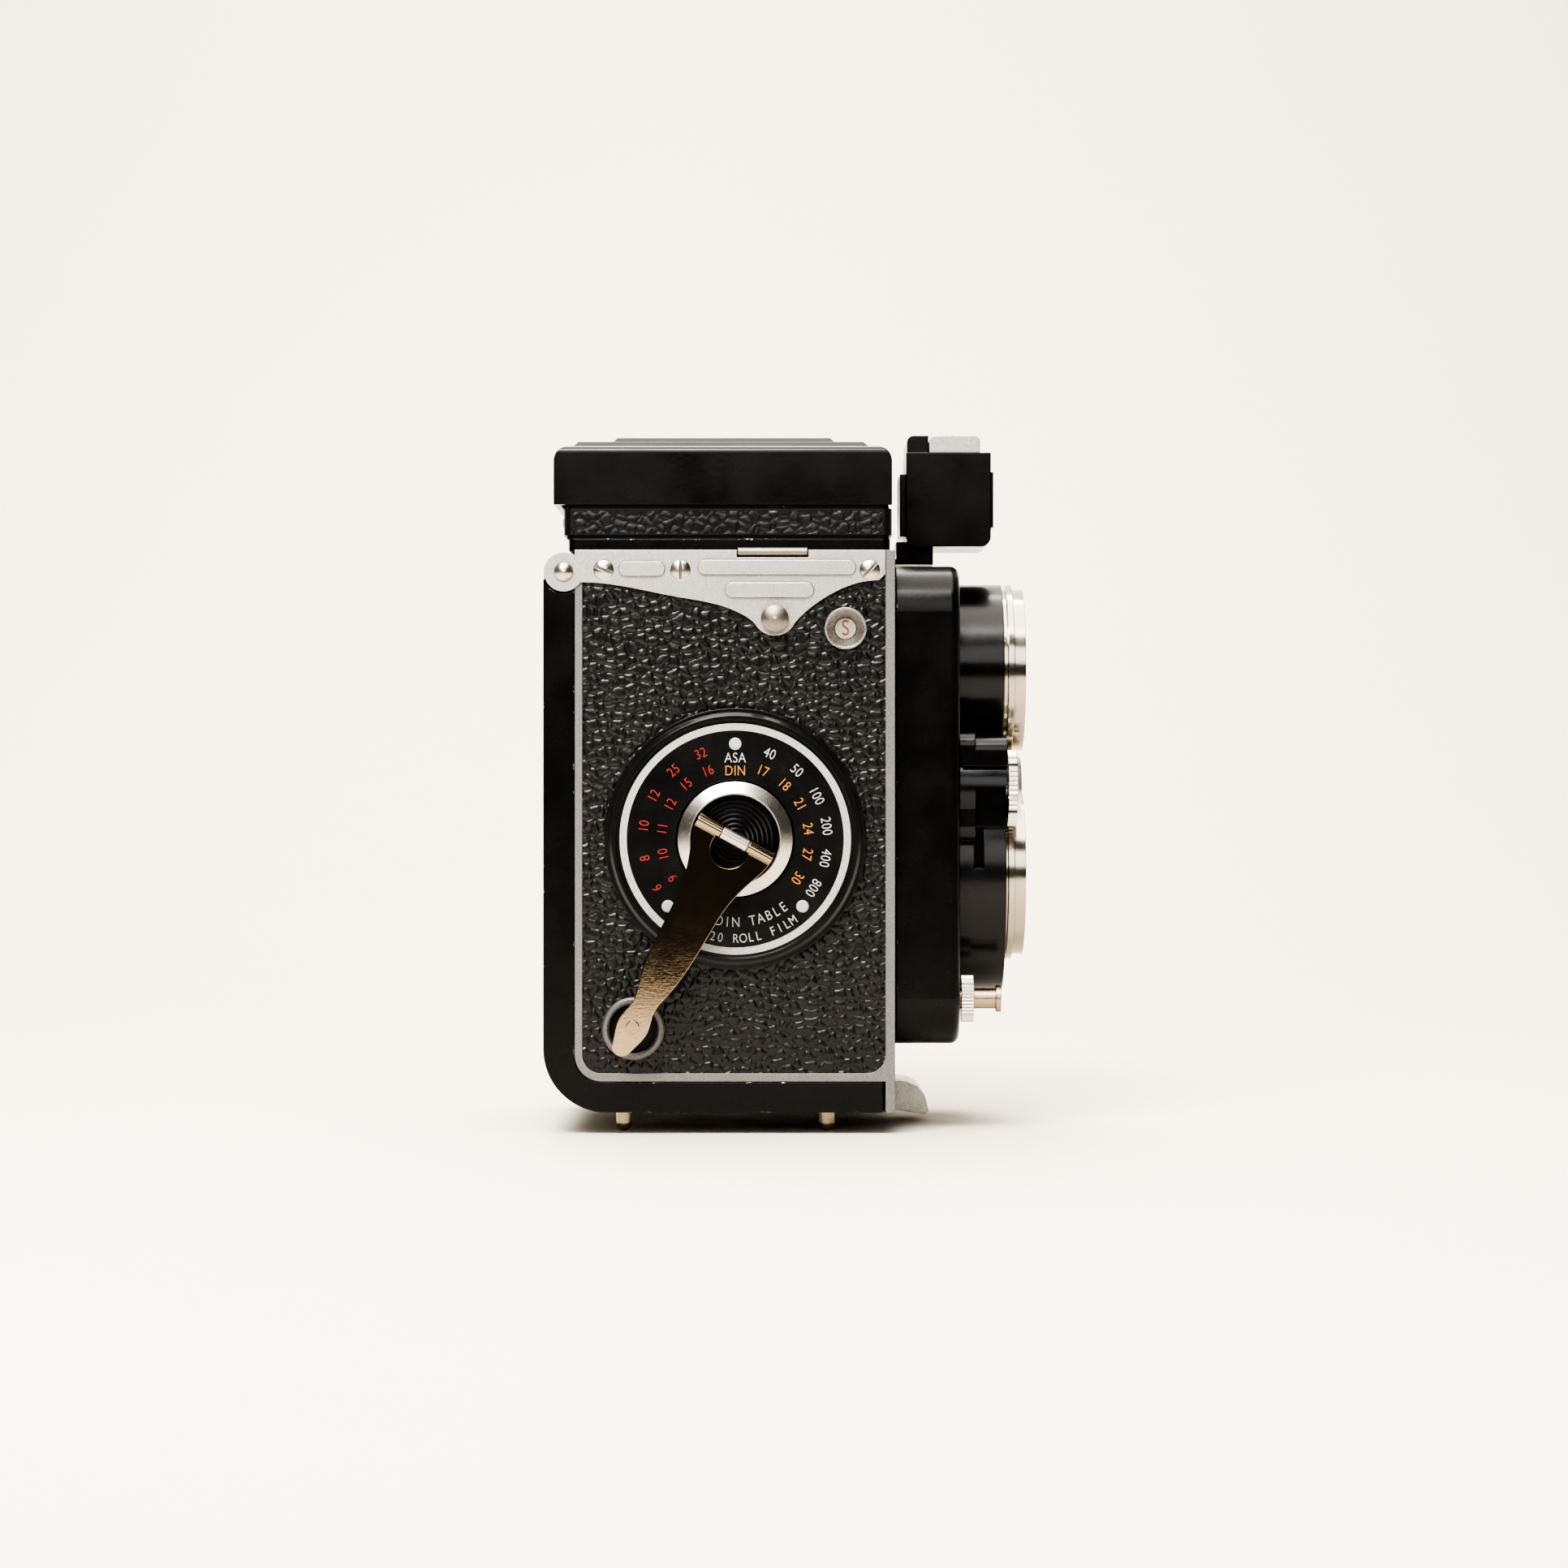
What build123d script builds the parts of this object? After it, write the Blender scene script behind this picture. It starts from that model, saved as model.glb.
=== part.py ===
"""Twin lens reflex camera, in millimetres.

+Z is up, the lenses face -Y and the winding crank is on the -X side.
The origin is the mouth of the tripod socket, in the middle of the base.
"""
import os
from math import acos, atan2, cos, degrees, hypot, pi, radians, sin

from build123d import *

os.makedirs("parts", exist_ok=True)

# Body
WALL_X = 35.0          # outside of the casting's side walls
WALL_T = 1.4
INNER_X = WALL_X - WALL_T
FRONT_Y = -36.9
FRONT_T = 2.4
REAR_Y = 30.3
SHELL_Z = 6.5
TOP_Z = 118.0
TOP_T = 2.4
SKIN_X = 36.2          # outside of the side leather
TRIM_X = 36.6          # outside of the silver border
PLATE_X = 37.0         # outside of the silver top side plates
BORDER = 1.6
FIT = 0.05             # radial clearance of a running fit
GAP = 0.4              # clearance between pieces that pass each other

# Back cover
COVER_REAR_Y = 36.9
COVER_FRONT_Y = -34.3
COVER_CORNER_R = 13.3
HINGE_Y, HINGE_Z = 32.6, 113.4
KNUCKLE_R = 4.0
PIN_R = 1.5

# Optics
VIEW_Z = 93.8
TAKE_Z = 49.3
RING_R = 17.6
RING_FLANGE_R = 18.7
RING_REAR_Y = -60.9
RING_FRONT_Y = -65.6
STANDARD_REAR_Y = -37.3
STANDARD_FRONT_Y = -50.7
STANDARD_HALF_X = 34.0
STANDARD_Z = (13.7, 115.2)
STANDARD_T = 1.5
WHEEL_X, WHEEL_Z, WHEEL_R = 22.0, 68.0, 8.15
RELEASE_X, RELEASE_Z = -25.0, 23.3

# Winding crank and its train
DIAL_Y, DIAL_Z, DIAL_R = -3.4, 57.4, 27.4
DIAL_TOP_X = -39.5
HUB_R, BOWL_R = 12.0, 9.0
HUB_TOP_X = -41.6
HUB_RIM_X = -40.5       # where the hub's cone starts
CRANK_X = -44.5
CRANK_TILT = 28.6      # barrel's tilt out of the horizontal, in degrees
CRANK_REACH = 44.3
MODULE = 1.0
CRANK_TEETH, IDLER_TEETH, TAKEUP_TEETH = 28, 12, 18
GEAR_X = (-33.4, -32.2)

# Film path
SPOOL_R, SPOOL_HALF = 11.8, 31.9
TAKEUP_Y, TAKEUP_Z = 11.5, 88.3
SUPPLY_Y, SUPPLY_Z = -21.0, 19.2
ROLLER_Y = 25.0
ROLLER_ZS = (17.8, 80.3)
GATE_Y = (25.0, 26.8)
GATE_HALF = 28.0

# Focusing
FOCUS_Y, FOCUS_Z = -8.0, 54.0
FOCUS_TRAVEL = 9.0
FOCUS_TURN = 300.0     # degrees of knob for the whole travel
CAM_R = 7.0

# Finder hood
HOOD_Z = 127.4         # where the lid meets the base
LID_TOP_Z = 140.0
LID_PIVOT = (-34.4, 136.6)
PANEL_X, PANEL_Z = 30.9, 129.0
BACK_PANEL_Y, BACK_PANEL_Z = 29.9, 131.2
PANEL_T = 0.7


def box(xs, ys, zs):
    size = [b - a for a, b in (xs, ys, zs)]
    middle = [(a + b) / 2 for a, b in (xs, ys, zs)]
    return Pos(*middle) * Box(*size)


def rod_x(y, z, r, xs):
    return Pos((xs[0] + xs[1]) / 2, y, z) * Rot(0, 90, 0) * Cylinder(r, abs(xs[1] - xs[0]))


def rod_y(x, z, r, ys):
    return Pos(x, (ys[0] + ys[1]) / 2, z) * Rot(90, 0, 0) * Cylinder(r, abs(ys[1] - ys[0]))


def rod_z(x, y, r, zs):
    return Pos(x, y, (zs[0] + zs[1]) / 2) * Cylinder(r, abs(zs[1] - zs[0]))


def side_prism(face, xs):
    """A face drawn in Y and Z, carried along X."""
    return Pos(min(xs), 0, 0) * extrude(Plane.YZ * face, abs(xs[1] - xs[0]))


def dome_x(y, z, r, base_x, height):
    """A low domed cap standing on a face towards +X."""
    ball_r = (r ** 2 + height ** 2) / (2 * height)
    middle_x = base_x + height - ball_r + (ball_r ** 2 - (r / 2) ** 2) ** 0.5
    outline = ThreePointArc((base_x, r), (middle_x, r / 2), (base_x + height, 0))
    outline = outline + Polyline((base_x + height, 0), (base_x, 0), (base_x, r))
    return Pos(0, y, z) * revolve(make_face(outline), Axis.X)


def front_prism(face, ys):
    """A face drawn in X and Z, carried along Y."""
    return Pos(0, max(ys), 0) * extrude(Plane.XZ * face, abs(ys[1] - ys[0]))


def both_sides(shape):
    """The shape and its mirror image across the middle of the camera."""
    return [shape, mirror(shape, Plane.YZ)]


def solids_of(*shapes):
    """Separate solids kept together in one piece."""
    return Compound(children=[solid for shape in shapes for solid in shape.solids()])


def cut_all(shape, tools):
    for tool in tools:
        shape = shape - tool
    return shape


def rounded_rect(us, vs, r):
    """A rounded rectangle between two pairs of limits."""
    middle = Pos((us[0] + us[1]) / 2, (vs[0] + vs[1]) / 2)
    return middle * RectangleRounded(us[1] - us[0], vs[1] - vs[0], r)


def knurl(r, length, ridges, depth):
    """A cylinder along Z with a ridged rim."""
    points = []
    for i in range(ridges):
        a = 2 * pi * i / ridges
        half = pi / ridges
        points.append((r * cos(a), r * sin(a)))
        points.append(((r - depth) * cos(a + half), (r - depth) * sin(a + half)))
    return extrude(make_face(Polyline(*points, close=True)), length)


def gear(teeth, turn):
    """A spur gear's face, turned by an angle in degrees."""
    r = MODULE * teeth / 2
    tip, root = r + 0.75 * MODULE, r - 1.1 * MODULE
    step = 2 * pi / teeth
    points = []
    for i in range(teeth):
        a = radians(turn) + i * step
        for radius, half_width in ((root, 1.0), (tip, 0.33), (tip, -0.33), (root, -1.0)):
            angle = a - half_width * MODULE / radius
            points.append((radius * cos(angle), radius * sin(angle)))
    return make_face(Polyline(*points, close=True))


parts = {}

# ---------------------------------------------------------------- side outlines
BORDER_OUTER = rounded_rect((FRONT_Y, REAR_Y), (SHELL_Z, TOP_Z), 0.4)
corner_cut = Pos(REAR_Y - 5.6, SHELL_Z + 5.6) * (
    Pos(2.8, -2.8) * Rectangle(5.6, 5.6) - Circle(5.6)
)
SIDE_OUTLINE = BORDER_OUTER - corner_cut
PANEL_OUTLINE = rounded_rect((FRONT_Y + 2.0, REAR_Y - BORDER), (SHELL_Z + 1.7, TOP_Z + 10), 4.0)

# The silver top plate hangs down to a round tongue that holds the strap stud.
STUD_Y, STUD_Z, STUD_R = -11.7, 103.5, 2.9
EAR_R = 4.15
plate_lower = Spline(
    (29.2, 111.2), (9.2, 108.2), (-3.1, 105.3), (-7.6, 102.4),
    tangents=[(-1, 0.0), (-0.65, -0.75)],
)
plate_tip = ThreePointArc((-7.6, 102.4), (-11.6, 100.0), (-15.7, 102.4))
plate_front = Spline(
    (-15.7, 102.4), (-19.1, 105.8), (-26.5, 110.2), (-33.6, 111.7),
    tangents=[(-0.6, 0.8), (-1, 0.05)],
)
plate_rest = Polyline(
    (-33.6, 111.7), (-34.9, 113.0), (-34.9, TOP_Z), (REAR_Y, TOP_Z), (REAR_Y, 113.0), (29.2, 111.2)
)
PLATE_OUTLINE = make_face(plate_lower + plate_tip + plate_front + plate_rest)
EAR = Pos(HINGE_Y, HINGE_Z) * Circle(EAR_R)

# ---------------------------------------------------------------- casting
side_wall = side_prism(SIDE_OUTLINE, (INNER_X, WALL_X))
front_wall = box((-WALL_X, WALL_X), (FRONT_Y, FRONT_Y + FRONT_T), (0, TOP_Z))
top_wall = box((-WALL_X, WALL_X), (FRONT_Y, REAR_Y - 1.0), (TOP_Z - TOP_T, TOP_Z))
COLLAR = (32.0, 15.5, 113.0)   # half width, bottom and top of the light-tight collar
collar = front_prism(
    rounded_rect((-COLLAR[0], COLLAR[0]), (COLLAR[1], COLLAR[2]), 8.0)
    - rounded_rect((1.2 - COLLAR[0], COLLAR[0] - 1.2), (COLLAR[1] + 1.2, COLLAR[2] - 1.2), 6.8),
    (FRONT_Y, FRONT_Y - 10),
)
casting = front_wall + top_wall + collar
for wall in both_sides(side_wall):
    casting = casting + wall
SCREEN_HALF = 28.0
GUIDE_R, GUIDE_X = 1.8, 28.0
GUIDE_ZS = (38.0, 106.0)
PUSH_XS = (27.1, 29.5)
COUNTER_Y, COUNTER_Z = -26.5, 101.5
PARK_Y, PARK_Z = 18.0, 17.6
casting = cut_all(casting, [
    rod_x(HINGE_Y, HINGE_Z, KNUCKLE_R + GAP, (-INNER_X, INNER_X)),
    box((-SCREEN_HALF, SCREEN_HALF), (-32.0, 24.0), (TOP_Z - 5, TOP_Z + 5)),
    rod_y(0, VIEW_Z, 17.0, (-30, -50)),
    rod_y(0, TAKE_Z, 12.5, (-30, -50)),
    box((-7.4, 7.4), (-40, -30), (-5, 4.3)),
    box((PUSH_XS[0] - 0.1, PUSH_XS[1] + 0.1), (-40, -30), (FOCUS_Z - 2.1, FOCUS_Z + 2.1)),
    rod_x(DIAL_Y, DIAL_Z, 4.0 + FIT, (-30, -40)),
    rod_x(COUNTER_Y, COUNTER_Z, 2.3, (-30, -40)),
    rod_x(FOCUS_Y, FOCUS_Z, 3.0 + FIT, (30, 40)),
    rod_x(TAKEUP_Y, TAKEUP_Z, 2.4 + FIT, (30, 40)),
    rod_x(SUPPLY_Y, SUPPLY_Z, 2.4 + FIT, (30, 40)),
])
for x in (-GUIDE_X, GUIDE_X):
    for z in GUIDE_ZS:
        casting = casting - rod_y(x, z, GUIDE_R + FIT, (-30, -40))
for z in ROLLER_ZS:
    casting = casting - rod_x(ROLLER_Y, z, 0.85, (-34.4, 34.4))

# Idler's place: on both pitch circles at once.
d_crank = MODULE * (CRANK_TEETH + IDLER_TEETH) / 2
d_takeup = MODULE * (IDLER_TEETH + TAKEUP_TEETH) / 2
span = hypot(TAKEUP_Y - DIAL_Y, TAKEUP_Z - DIAL_Z)
line_angle = atan2(TAKEUP_Z - DIAL_Z, TAKEUP_Y - DIAL_Y)
offset = acos((d_crank ** 2 + span ** 2 - d_takeup ** 2) / (2 * d_crank * span))
idler_angle = line_angle - offset
IDLER_Y = DIAL_Y + d_crank * cos(idler_angle)
IDLER_Z = DIAL_Z + d_crank * sin(idler_angle)
COUNTER_DIAL_Y = COUNTER_Y + 4.6
casting = casting + rod_x(IDLER_Y, IDLER_Z, 1.5, (-33.6, GEAR_X[1]))
casting = casting + rod_x(TAKEUP_Y, TAKEUP_Z, 1.2, (-33.6, -32.8))
casting = casting + rod_x(SUPPLY_Y, SUPPLY_Z, 2.4, (-33.6, -29.0))
casting = casting + rod_x(COUNTER_DIAL_Y, COUNTER_Z, 0.8, (-33.6, -32.6))

# ---------------------------------------------------------------- dark chamber and gate
LIGHT_BOX_Y = (FRONT_Y + FRONT_T, GATE_Y[0])


def frustum(front_half, rear_half):
    front = Plane((0, LIGHT_BOX_Y[0], TAKE_Z), (1, 0, 0), (0, -1, 0)) * Rectangle(
        2 * front_half, 2 * front_half)
    rear = Plane((0, LIGHT_BOX_Y[1], TAKE_Z), (1, 0, 0), (0, -1, 0)) * Rectangle(
        2 * rear_half, 2 * rear_half)
    return loft([front.face(), rear.face()])


chamber = frustum(14.2, 29.2) - frustum(13.0, 28.0)
gate = box((-33.5, 33.5), GATE_Y, (TAKE_Z - 28.9, TAKE_Z + 28.9))
gate = gate - box((-GATE_HALF, GATE_HALF), (20, 30), (TAKE_Z - GATE_HALF, TAKE_Z + GATE_HALF))
for x in (-30.2, 30.2):
    rail = box((x - 0.7, x + 0.7), (26.8, 27.0), (TAKE_Z - 28.5, TAKE_Z + 28.5))
    gate = gate + rail
parts["dark_chamber"] = chamber + gate

# ---------------------------------------------------------------- mirror and screen
MIRROR_HALF = 27.0
MIRROR_LINE = VIEW_Z + 4.0      # z - y on the reflecting face


def sloped(y0, y1, near, far, half):
    """A slab under the mirror's plane, between two depths along its normal."""
    points = []
    for y, depth in ((y0, near), (y1, near), (y1, far), (y0, far)):
        drop = depth / 2 ** 0.5
        points.append((y + drop, y + MIRROR_LINE - drop))
    return side_prism(make_face(Polyline(*points, close=True)), (-half, half))


parts["mirror"] = sloped(-24.0, 15.5, 0.0, 1.0, MIRROR_HALF)
holder = sloped(-24.0, 15.5, 1.0, 2.0, MIRROR_HALF + 1.4)
cheek = make_face(Polyline(
    (-15.0, TOP_Z - TOP_T), (15.5, TOP_Z - TOP_T), (15.5, 15.5 + MIRROR_LINE), (-15.0, MIRROR_LINE - 15.0),
    close=True,
))
for side in both_sides(side_prism(cheek, (MIRROR_HALF + 0.2, MIRROR_HALF + 1.4))):
    holder = holder + side
lip = sloped(-15.0, 15.5, 0.0, 2.0, MIRROR_HALF + 1.4) - sloped(-15.0, 15.5, -1, 1.0, MIRROR_HALF + 0.2)
parts["body_casting"] = casting + holder + lip
parts["focusing_screen"] = box((-28.8, 28.8), (-32.8, 24.8), (TOP_Z, TOP_Z + 1.6))

# ---------------------------------------------------------------- side skins
DIAL_SEAT_R = DIAL_R + 0.1
panel_face = PANEL_OUTLINE & SIDE_OUTLINE
leather_face = panel_face - PLATE_OUTLINE - EAR
front_strip = rounded_rect((FRONT_Y, FRONT_Y + 2.0), (0, TOP_Z), 0.3)
border_face = (SIDE_OUTLINE - PANEL_OUTLINE + front_strip) - PLATE_OUTLINE - EAR
border = side_prism(border_face, (WALL_X, TRIM_X))
leather = side_prism(leather_face, (WALL_X, SKIN_X))
border_right, border_left = both_sides(border)
leather_right, leather_left = both_sides(leather)
leather_left = cut_all(leather_left, [
    rod_x(DIAL_Y, DIAL_Z, DIAL_SEAT_R, (-30, -40)),
    rod_x(PARK_Y, PARK_Z, 5.1, (-30, -40)),
    rod_x(COUNTER_Y, COUNTER_Z, 4.5, (-30, -40)),
])
leather_right = cut_all(leather_right, [
    rod_x(FOCUS_Y, FOCUS_Z, 3.2, (30, 40)),
    rod_x(TAKEUP_Y, TAKEUP_Z, 2.6, (30, 40)),
    rod_x(SUPPLY_Y, SUPPLY_Z, 2.6, (30, 40)),
])
parts["side_borders"] = solids_of(border_left, border_right)
parts["side_leathers"] = solids_of(leather_left, leather_right)

# ---------------------------------------------------------------- side plates
SCREW_YS = (24.2, 8.1, -31.6)
SCREW_Z = 113.8
SCREW_SLOTS = (20.0, 90.0, -45.0)
SCREW_R = 2.05
BOSSES = ((11.4, 21.0, 112.5, 115.5), (-28.6, 4.4, 112.8, 115.8), (-19.8, -1.3, 108.0, 111.1))
plate_face = PLATE_OUTLINE + EAR
side_plate = side_prism(plate_face, (WALL_X, PLATE_X))
for y0, y1, z0, z1 in BOSSES:
    boss = rounded_rect((y0, y1), (z0, z1), (z1 - z0) / 2 - 0.01)
    side_plate = side_plate + side_prism(boss, (PLATE_X, PLATE_X + 0.5))
side_plate = side_plate - rod_x(HINGE_Y, HINGE_Z, PIN_R + FIT, (30, 40))
screws = []
for y, slot in zip(SCREW_YS, SCREW_SLOTS):
    side_plate = side_plate - rod_x(y, SCREW_Z, SCREW_R + 0.05, (PLATE_X - 0.8, PLATE_X + 1))
    side_plate = side_plate - rod_x(y, SCREW_Z, 1.1, (WALL_X - 1, PLATE_X))
    screw = rod_x(y, SCREW_Z, SCREW_R, (PLATE_X - 0.8, PLATE_X)) + dome_x(y, SCREW_Z, SCREW_R, PLATE_X, 0.6)
    screw = screw + rod_x(y, SCREW_Z, 1.05, (WALL_X, PLATE_X - 0.8))
    groove = Pos(PLATE_X + 0.4, y, SCREW_Z) * Rot(slot, 0, 0) * Box(0.9, 6, 0.5)
    screws.append(screw - groove)
# The strap's bar lies in a pocket in the plate's top edge.
BAR_YS = (-18.5, -3.9)
side_plate = side_plate - box((WALL_X - 1, PLATE_X + 1), (BAR_YS[0] - 0.2, BAR_YS[1] + 0.2), (116.4, 120))
parts["side_plates"] = solids_of(*both_sides(side_plate))
all_screws = [piece for screw in screws for piece in both_sides(screw)]
parts["plate_screws"] = solids_of(*all_screws)
bar = rod_y(PLATE_X - 1.0, 117.6, 1.0, BAR_YS)
bar = bar + box((WALL_X, PLATE_X - 1.0), (BAR_YS[0], BAR_YS[0] + 1.6), (116.6, 118.6))
bar = bar + box((WALL_X, PLATE_X - 1.0), (BAR_YS[1] - 1.6, BAR_YS[1]), (116.6, 118.6))
stud = rod_x(STUD_Y, STUD_Z, STUD_R - 0.8, (PLATE_X, PLATE_X + 1.8))
stud = stud + rod_x(STUD_Y, STUD_Z, STUD_R, (PLATE_X + 1.8, PLATE_X + 2.2))
stud = stud + dome_x(STUD_Y, STUD_Z, STUD_R, PLATE_X + 2.2, 1.0)
parts["strap_lugs"] = solids_of(*both_sides(bar), *both_sides(stud))

# ---------------------------------------------------------------- back cover
INNER_CORNER_R = 5.75
LEATHER_T = 0.8
outer = rounded_rect((-80, COVER_REAR_Y), (0, HINGE_Z + 20), COVER_CORNER_R)
inner = rounded_rect((-90, REAR_Y + 0.15), (SHELL_Z - 0.15, HINGE_Z + 30), INNER_CORNER_R)
window = Pos(0, HINGE_Z / 2) * Rectangle(200, HINGE_Z) - Pos(COVER_FRONT_Y - 50, 0) * Rectangle(100, 300)
cover_face = (outer - inner) & window
COVER_HALF = TRIM_X
cover = side_prism(cover_face, (-COVER_HALF, COVER_HALF))
ear_room = rod_x(HINGE_Y, HINGE_Z, EAR_R + GAP, (33.3, 40))
for room in both_sides(ear_room):
    cover = cover - room
cover = cover + rod_x(HINGE_Y, HINGE_Z, KNUCKLE_R, (-33.2, 33.2))
LOCK_R = 7.0
cover = cut_all(cover, [
    box((-33.0, 33.0), (REAR_Y - 1, REAR_Y + 4.4), (16, 105)),
    rod_x(HINGE_Y, HINGE_Z, PIN_R + FIT, (-40, 40)),
    box((-7.3, 7.3), (-40, -12.0), (1.8, 4.2)),
    rod_z(0, 0, LOCK_R, (-1, 10)),
    box((-32.6, 32.6), (COVER_REAR_Y - LEATHER_T, COVER_REAR_Y + 1), (16.9, 107.1)),
])
parts["back_cover"] = cover
parts["back_leather"] = box((-32.5, 32.5), (COVER_REAR_Y - LEATHER_T, COVER_REAR_Y), (17, 107))
pin = rod_x(HINGE_Y, HINGE_Z, PIN_R, (-PLATE_X, PLATE_X))
rivet = rod_x(HINGE_Y, HINGE_Z, 1.95, (PLATE_X, PLATE_X + 0.3))
rivet = rivet + dome_x(HINGE_Y, HINGE_Z, 1.95, PLATE_X + 0.3, 0.9)
for cap in both_sides(rivet):
    pin = pin + cap
parts["back_hinge_pin"] = pin
plate = box((-30.8, 30.8), (27.2, 28.2), (TAKE_Z - 29, TAKE_Z + 29))
SPRING_T = 0.5
spring = box((-10, 10), (34.0, 34.0 + SPRING_T), (TAKE_Z - 8, TAKE_Z + 8))
for side in (-1, 1):
    leaf = make_face(Polyline(
        (34.0, TAKE_Z + side * 8), (34.5, TAKE_Z + side * 8), (28.7, TAKE_Z + side * 22),
        (28.2, TAKE_Z + side * 22), close=True,
    ))
    spring = spring + side_prism(leaf, (-10, 10))
spring = spring + box((-1.5, 1.5), (34.5, 34.7), (TAKE_Z - 3, TAKE_Z + 3))
parts["pressure_plate"] = plate + spring
SOCKET_R = 3.175
SOCKET_DEPTH = 5.2
socket = rod_z(0, 0, LOCK_R, (0, 6.2)) - rod_z(0, 0, SOCKET_R, (-1, SOCKET_DEPTH))
parts["tripod_socket"] = socket
ring = Pos(0, 0, -1.3) * knurl(13.0, 1.3, 48, 0.5) - rod_z(0, 0, 8.6, (-3, 1))
ring = ring + box((-3, 3), (12.0, 17.5), (-1.3, -0.0))
parts["back_lock_ring"] = ring
parts["latch_tongue"] = box((-7.0, 7.0), (-39.0, -15.5), (2.0, 4.0))
FOOT_X, FOOT_R, FOOT_BOTTOM_Z = 27.0, 1.7, -4.6
FOOT_YS = (20.3, -22.7)
feet = []
for x in (-FOOT_X, FOOT_X):
    for y in FOOT_YS:
        foot = rod_z(x, y, FOOT_R, (FOOT_BOTTOM_Z + FOOT_R, 0))
        foot = foot + Pos(x, y, FOOT_BOTTOM_Z + FOOT_R) * Sphere(FOOT_R)
        feet.append(foot)
parts["feet"] = solids_of(*feet)
toe_face = make_face(Polyline(
    (FRONT_Y, 4.7), (-40.2, 4.4), (-42.6, 3.4), (-44.2, 1.2), (-44.9, -1.8), (-44.2, -2.6), (FRONT_Y, -1.6),
    close=True,
))
toe = side_prism(toe_face, (-10, 10)) - box((-7.4, 7.4), (-39.6, -30), (-5, 4.3))
parts["front_toe"] = toe

# ---------------------------------------------------------------- front standard
standard = front_prism(
    rounded_rect((-STANDARD_HALF_X, STANDARD_HALF_X), STANDARD_Z, 10.0),
    (STANDARD_REAR_Y, STANDARD_FRONT_Y),
)
hollow = front_prism(
    rounded_rect((STANDARD_T - STANDARD_HALF_X, STANDARD_HALF_X - STANDARD_T),
                 (STANDARD_Z[0] + STANDARD_T - 0.2, STANDARD_Z[1] - STANDARD_T + 0.2), 8.7),
    (STANDARD_REAR_Y + 1, STANDARD_FRONT_Y + STANDARD_T),
)
standard = standard - hollow
front_edges = standard.faces().sort_by(Axis.Y)[0].outer_wire().edges()
standard = fillet(front_edges, 1.8)
standard = cut_all(standard, [
    rod_y(0, VIEW_Z, 15.0, (-40, -60)),
    rod_y(0, TAKE_Z, 16.0, (-40, -60)),
    rod_y(RELEASE_X, RELEASE_Z, 2.16 + FIT, (-40, -60)),
])
BACK_OF_FRONT = STANDARD_FRONT_Y + STANDARD_T
for x in (-GUIDE_X, GUIDE_X):
    for z in GUIDE_ZS:
        standard = standard + rod_y(x, z, GUIDE_R, (BACK_OF_FRONT, -22.0))
PUSH_TIP_Y = FOCUS_Y - CAM_R - GAP
push = make_face(Polyline(
    (BACK_OF_FRONT, FOCUS_Z - 2), (BACK_OF_FRONT, FOCUS_Z + 2), (PUSH_TIP_Y - 3, FOCUS_Z + 2),
    (PUSH_TIP_Y, FOCUS_Z + 0.5), (PUSH_TIP_Y, FOCUS_Z - 0.5), (PUSH_TIP_Y - 3, FOCUS_Z - 2), close=True,
))
standard = standard + side_prism(push, PUSH_XS)
seat = box((RELEASE_X - 3, RELEASE_X + 3), (-41.0, -40.0), (RELEASE_Z - 3, RELEASE_Z + 3))
seat = seat + box((RELEASE_X + 3, RELEASE_X + 4), (BACK_OF_FRONT, -40.0), (RELEASE_Z - 3, RELEASE_Z + 3))
standard = standard + seat
parts["front_standard"] = standard

housing_face = Pos(0, VIEW_Z) * Circle(18.7) + Pos(0, TAKE_Z) * Circle(26.0)
housing_face = housing_face + rounded_rect((-13, 13), (60, 90), 1.0)
housing_face = housing_face + rounded_rect((-29.5, 29.5), (64.0, 79.0), 3.0)
for x in (-WHEEL_X, WHEEL_X):
    housing_face = housing_face + Pos(x, WHEEL_Z) * Circle(WHEEL_R + 0.5)
housing = front_prism(housing_face, (STANDARD_FRONT_Y, RING_REAR_Y))
SHOULDER_Y = -54.1
shoulder = front_prism(rounded_rect((-29.5, 29.5), (56.9, 80.0), 3.0), (STANDARD_FRONT_Y, SHOULDER_Y))
housing = housing + shoulder
# Beside the taking lens the housing is undercut below each wheel, with a thin groove across it.
undercut = box((24.6, 32.0), (-62.0, SHOULDER_Y), (59.7, 68.5))
undercut = undercut + box((21.0, 32.0), (-56.1, SHOULDER_Y), (50.9, 59.8))
undercut = undercut + box((26.8, 32.0), (-62.0, STANDARD_FRONT_Y - 0.8), (71.9, 72.7))
for room in both_sides(undercut):
    housing = housing - room
housing = cut_all(housing, [rod_y(0, VIEW_Z, 15.0, (-45, -70)), rod_y(0, TAKE_Z, 16.0, (-45, -70))])
for x in (-WHEEL_X, WHEEL_X):
    housing = housing - rod_y(x, WHEEL_Z, 2.0 + FIT, (-56.5, -70))
parts["lens_housing"] = housing


def bayonet_ring(z):
    ring = rod_y(0, z, RING_R, (RING_REAR_Y, RING_FRONT_Y))
    ring = ring + rod_y(0, z, RING_FLANGE_R, (RING_REAR_Y - 0.9, RING_REAR_Y - 2.2))
    ring = ring - rod_y(0, z, 15.2, (-40, -70))
    return ring - Pos(0, RING_FRONT_Y, z + 18.2) * Box(3.2, 5.5, 2.0)


def lens_cell(z, seat_r):
    """The black mount inside a ring, with a cone towards the glass."""
    cell = rod_y(0, z, 14.95, (-45.0, -64.6))
    cone = Pos(0, -62.1, z) * Rot(90, 0, 0) * Cone(seat_r, 14.4, 5.0)
    return cell - cone - rod_y(0, z, seat_r - 0.6, (-40, -62)) - rod_y(0, z, seat_r, (-56.0, -61.0))


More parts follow.
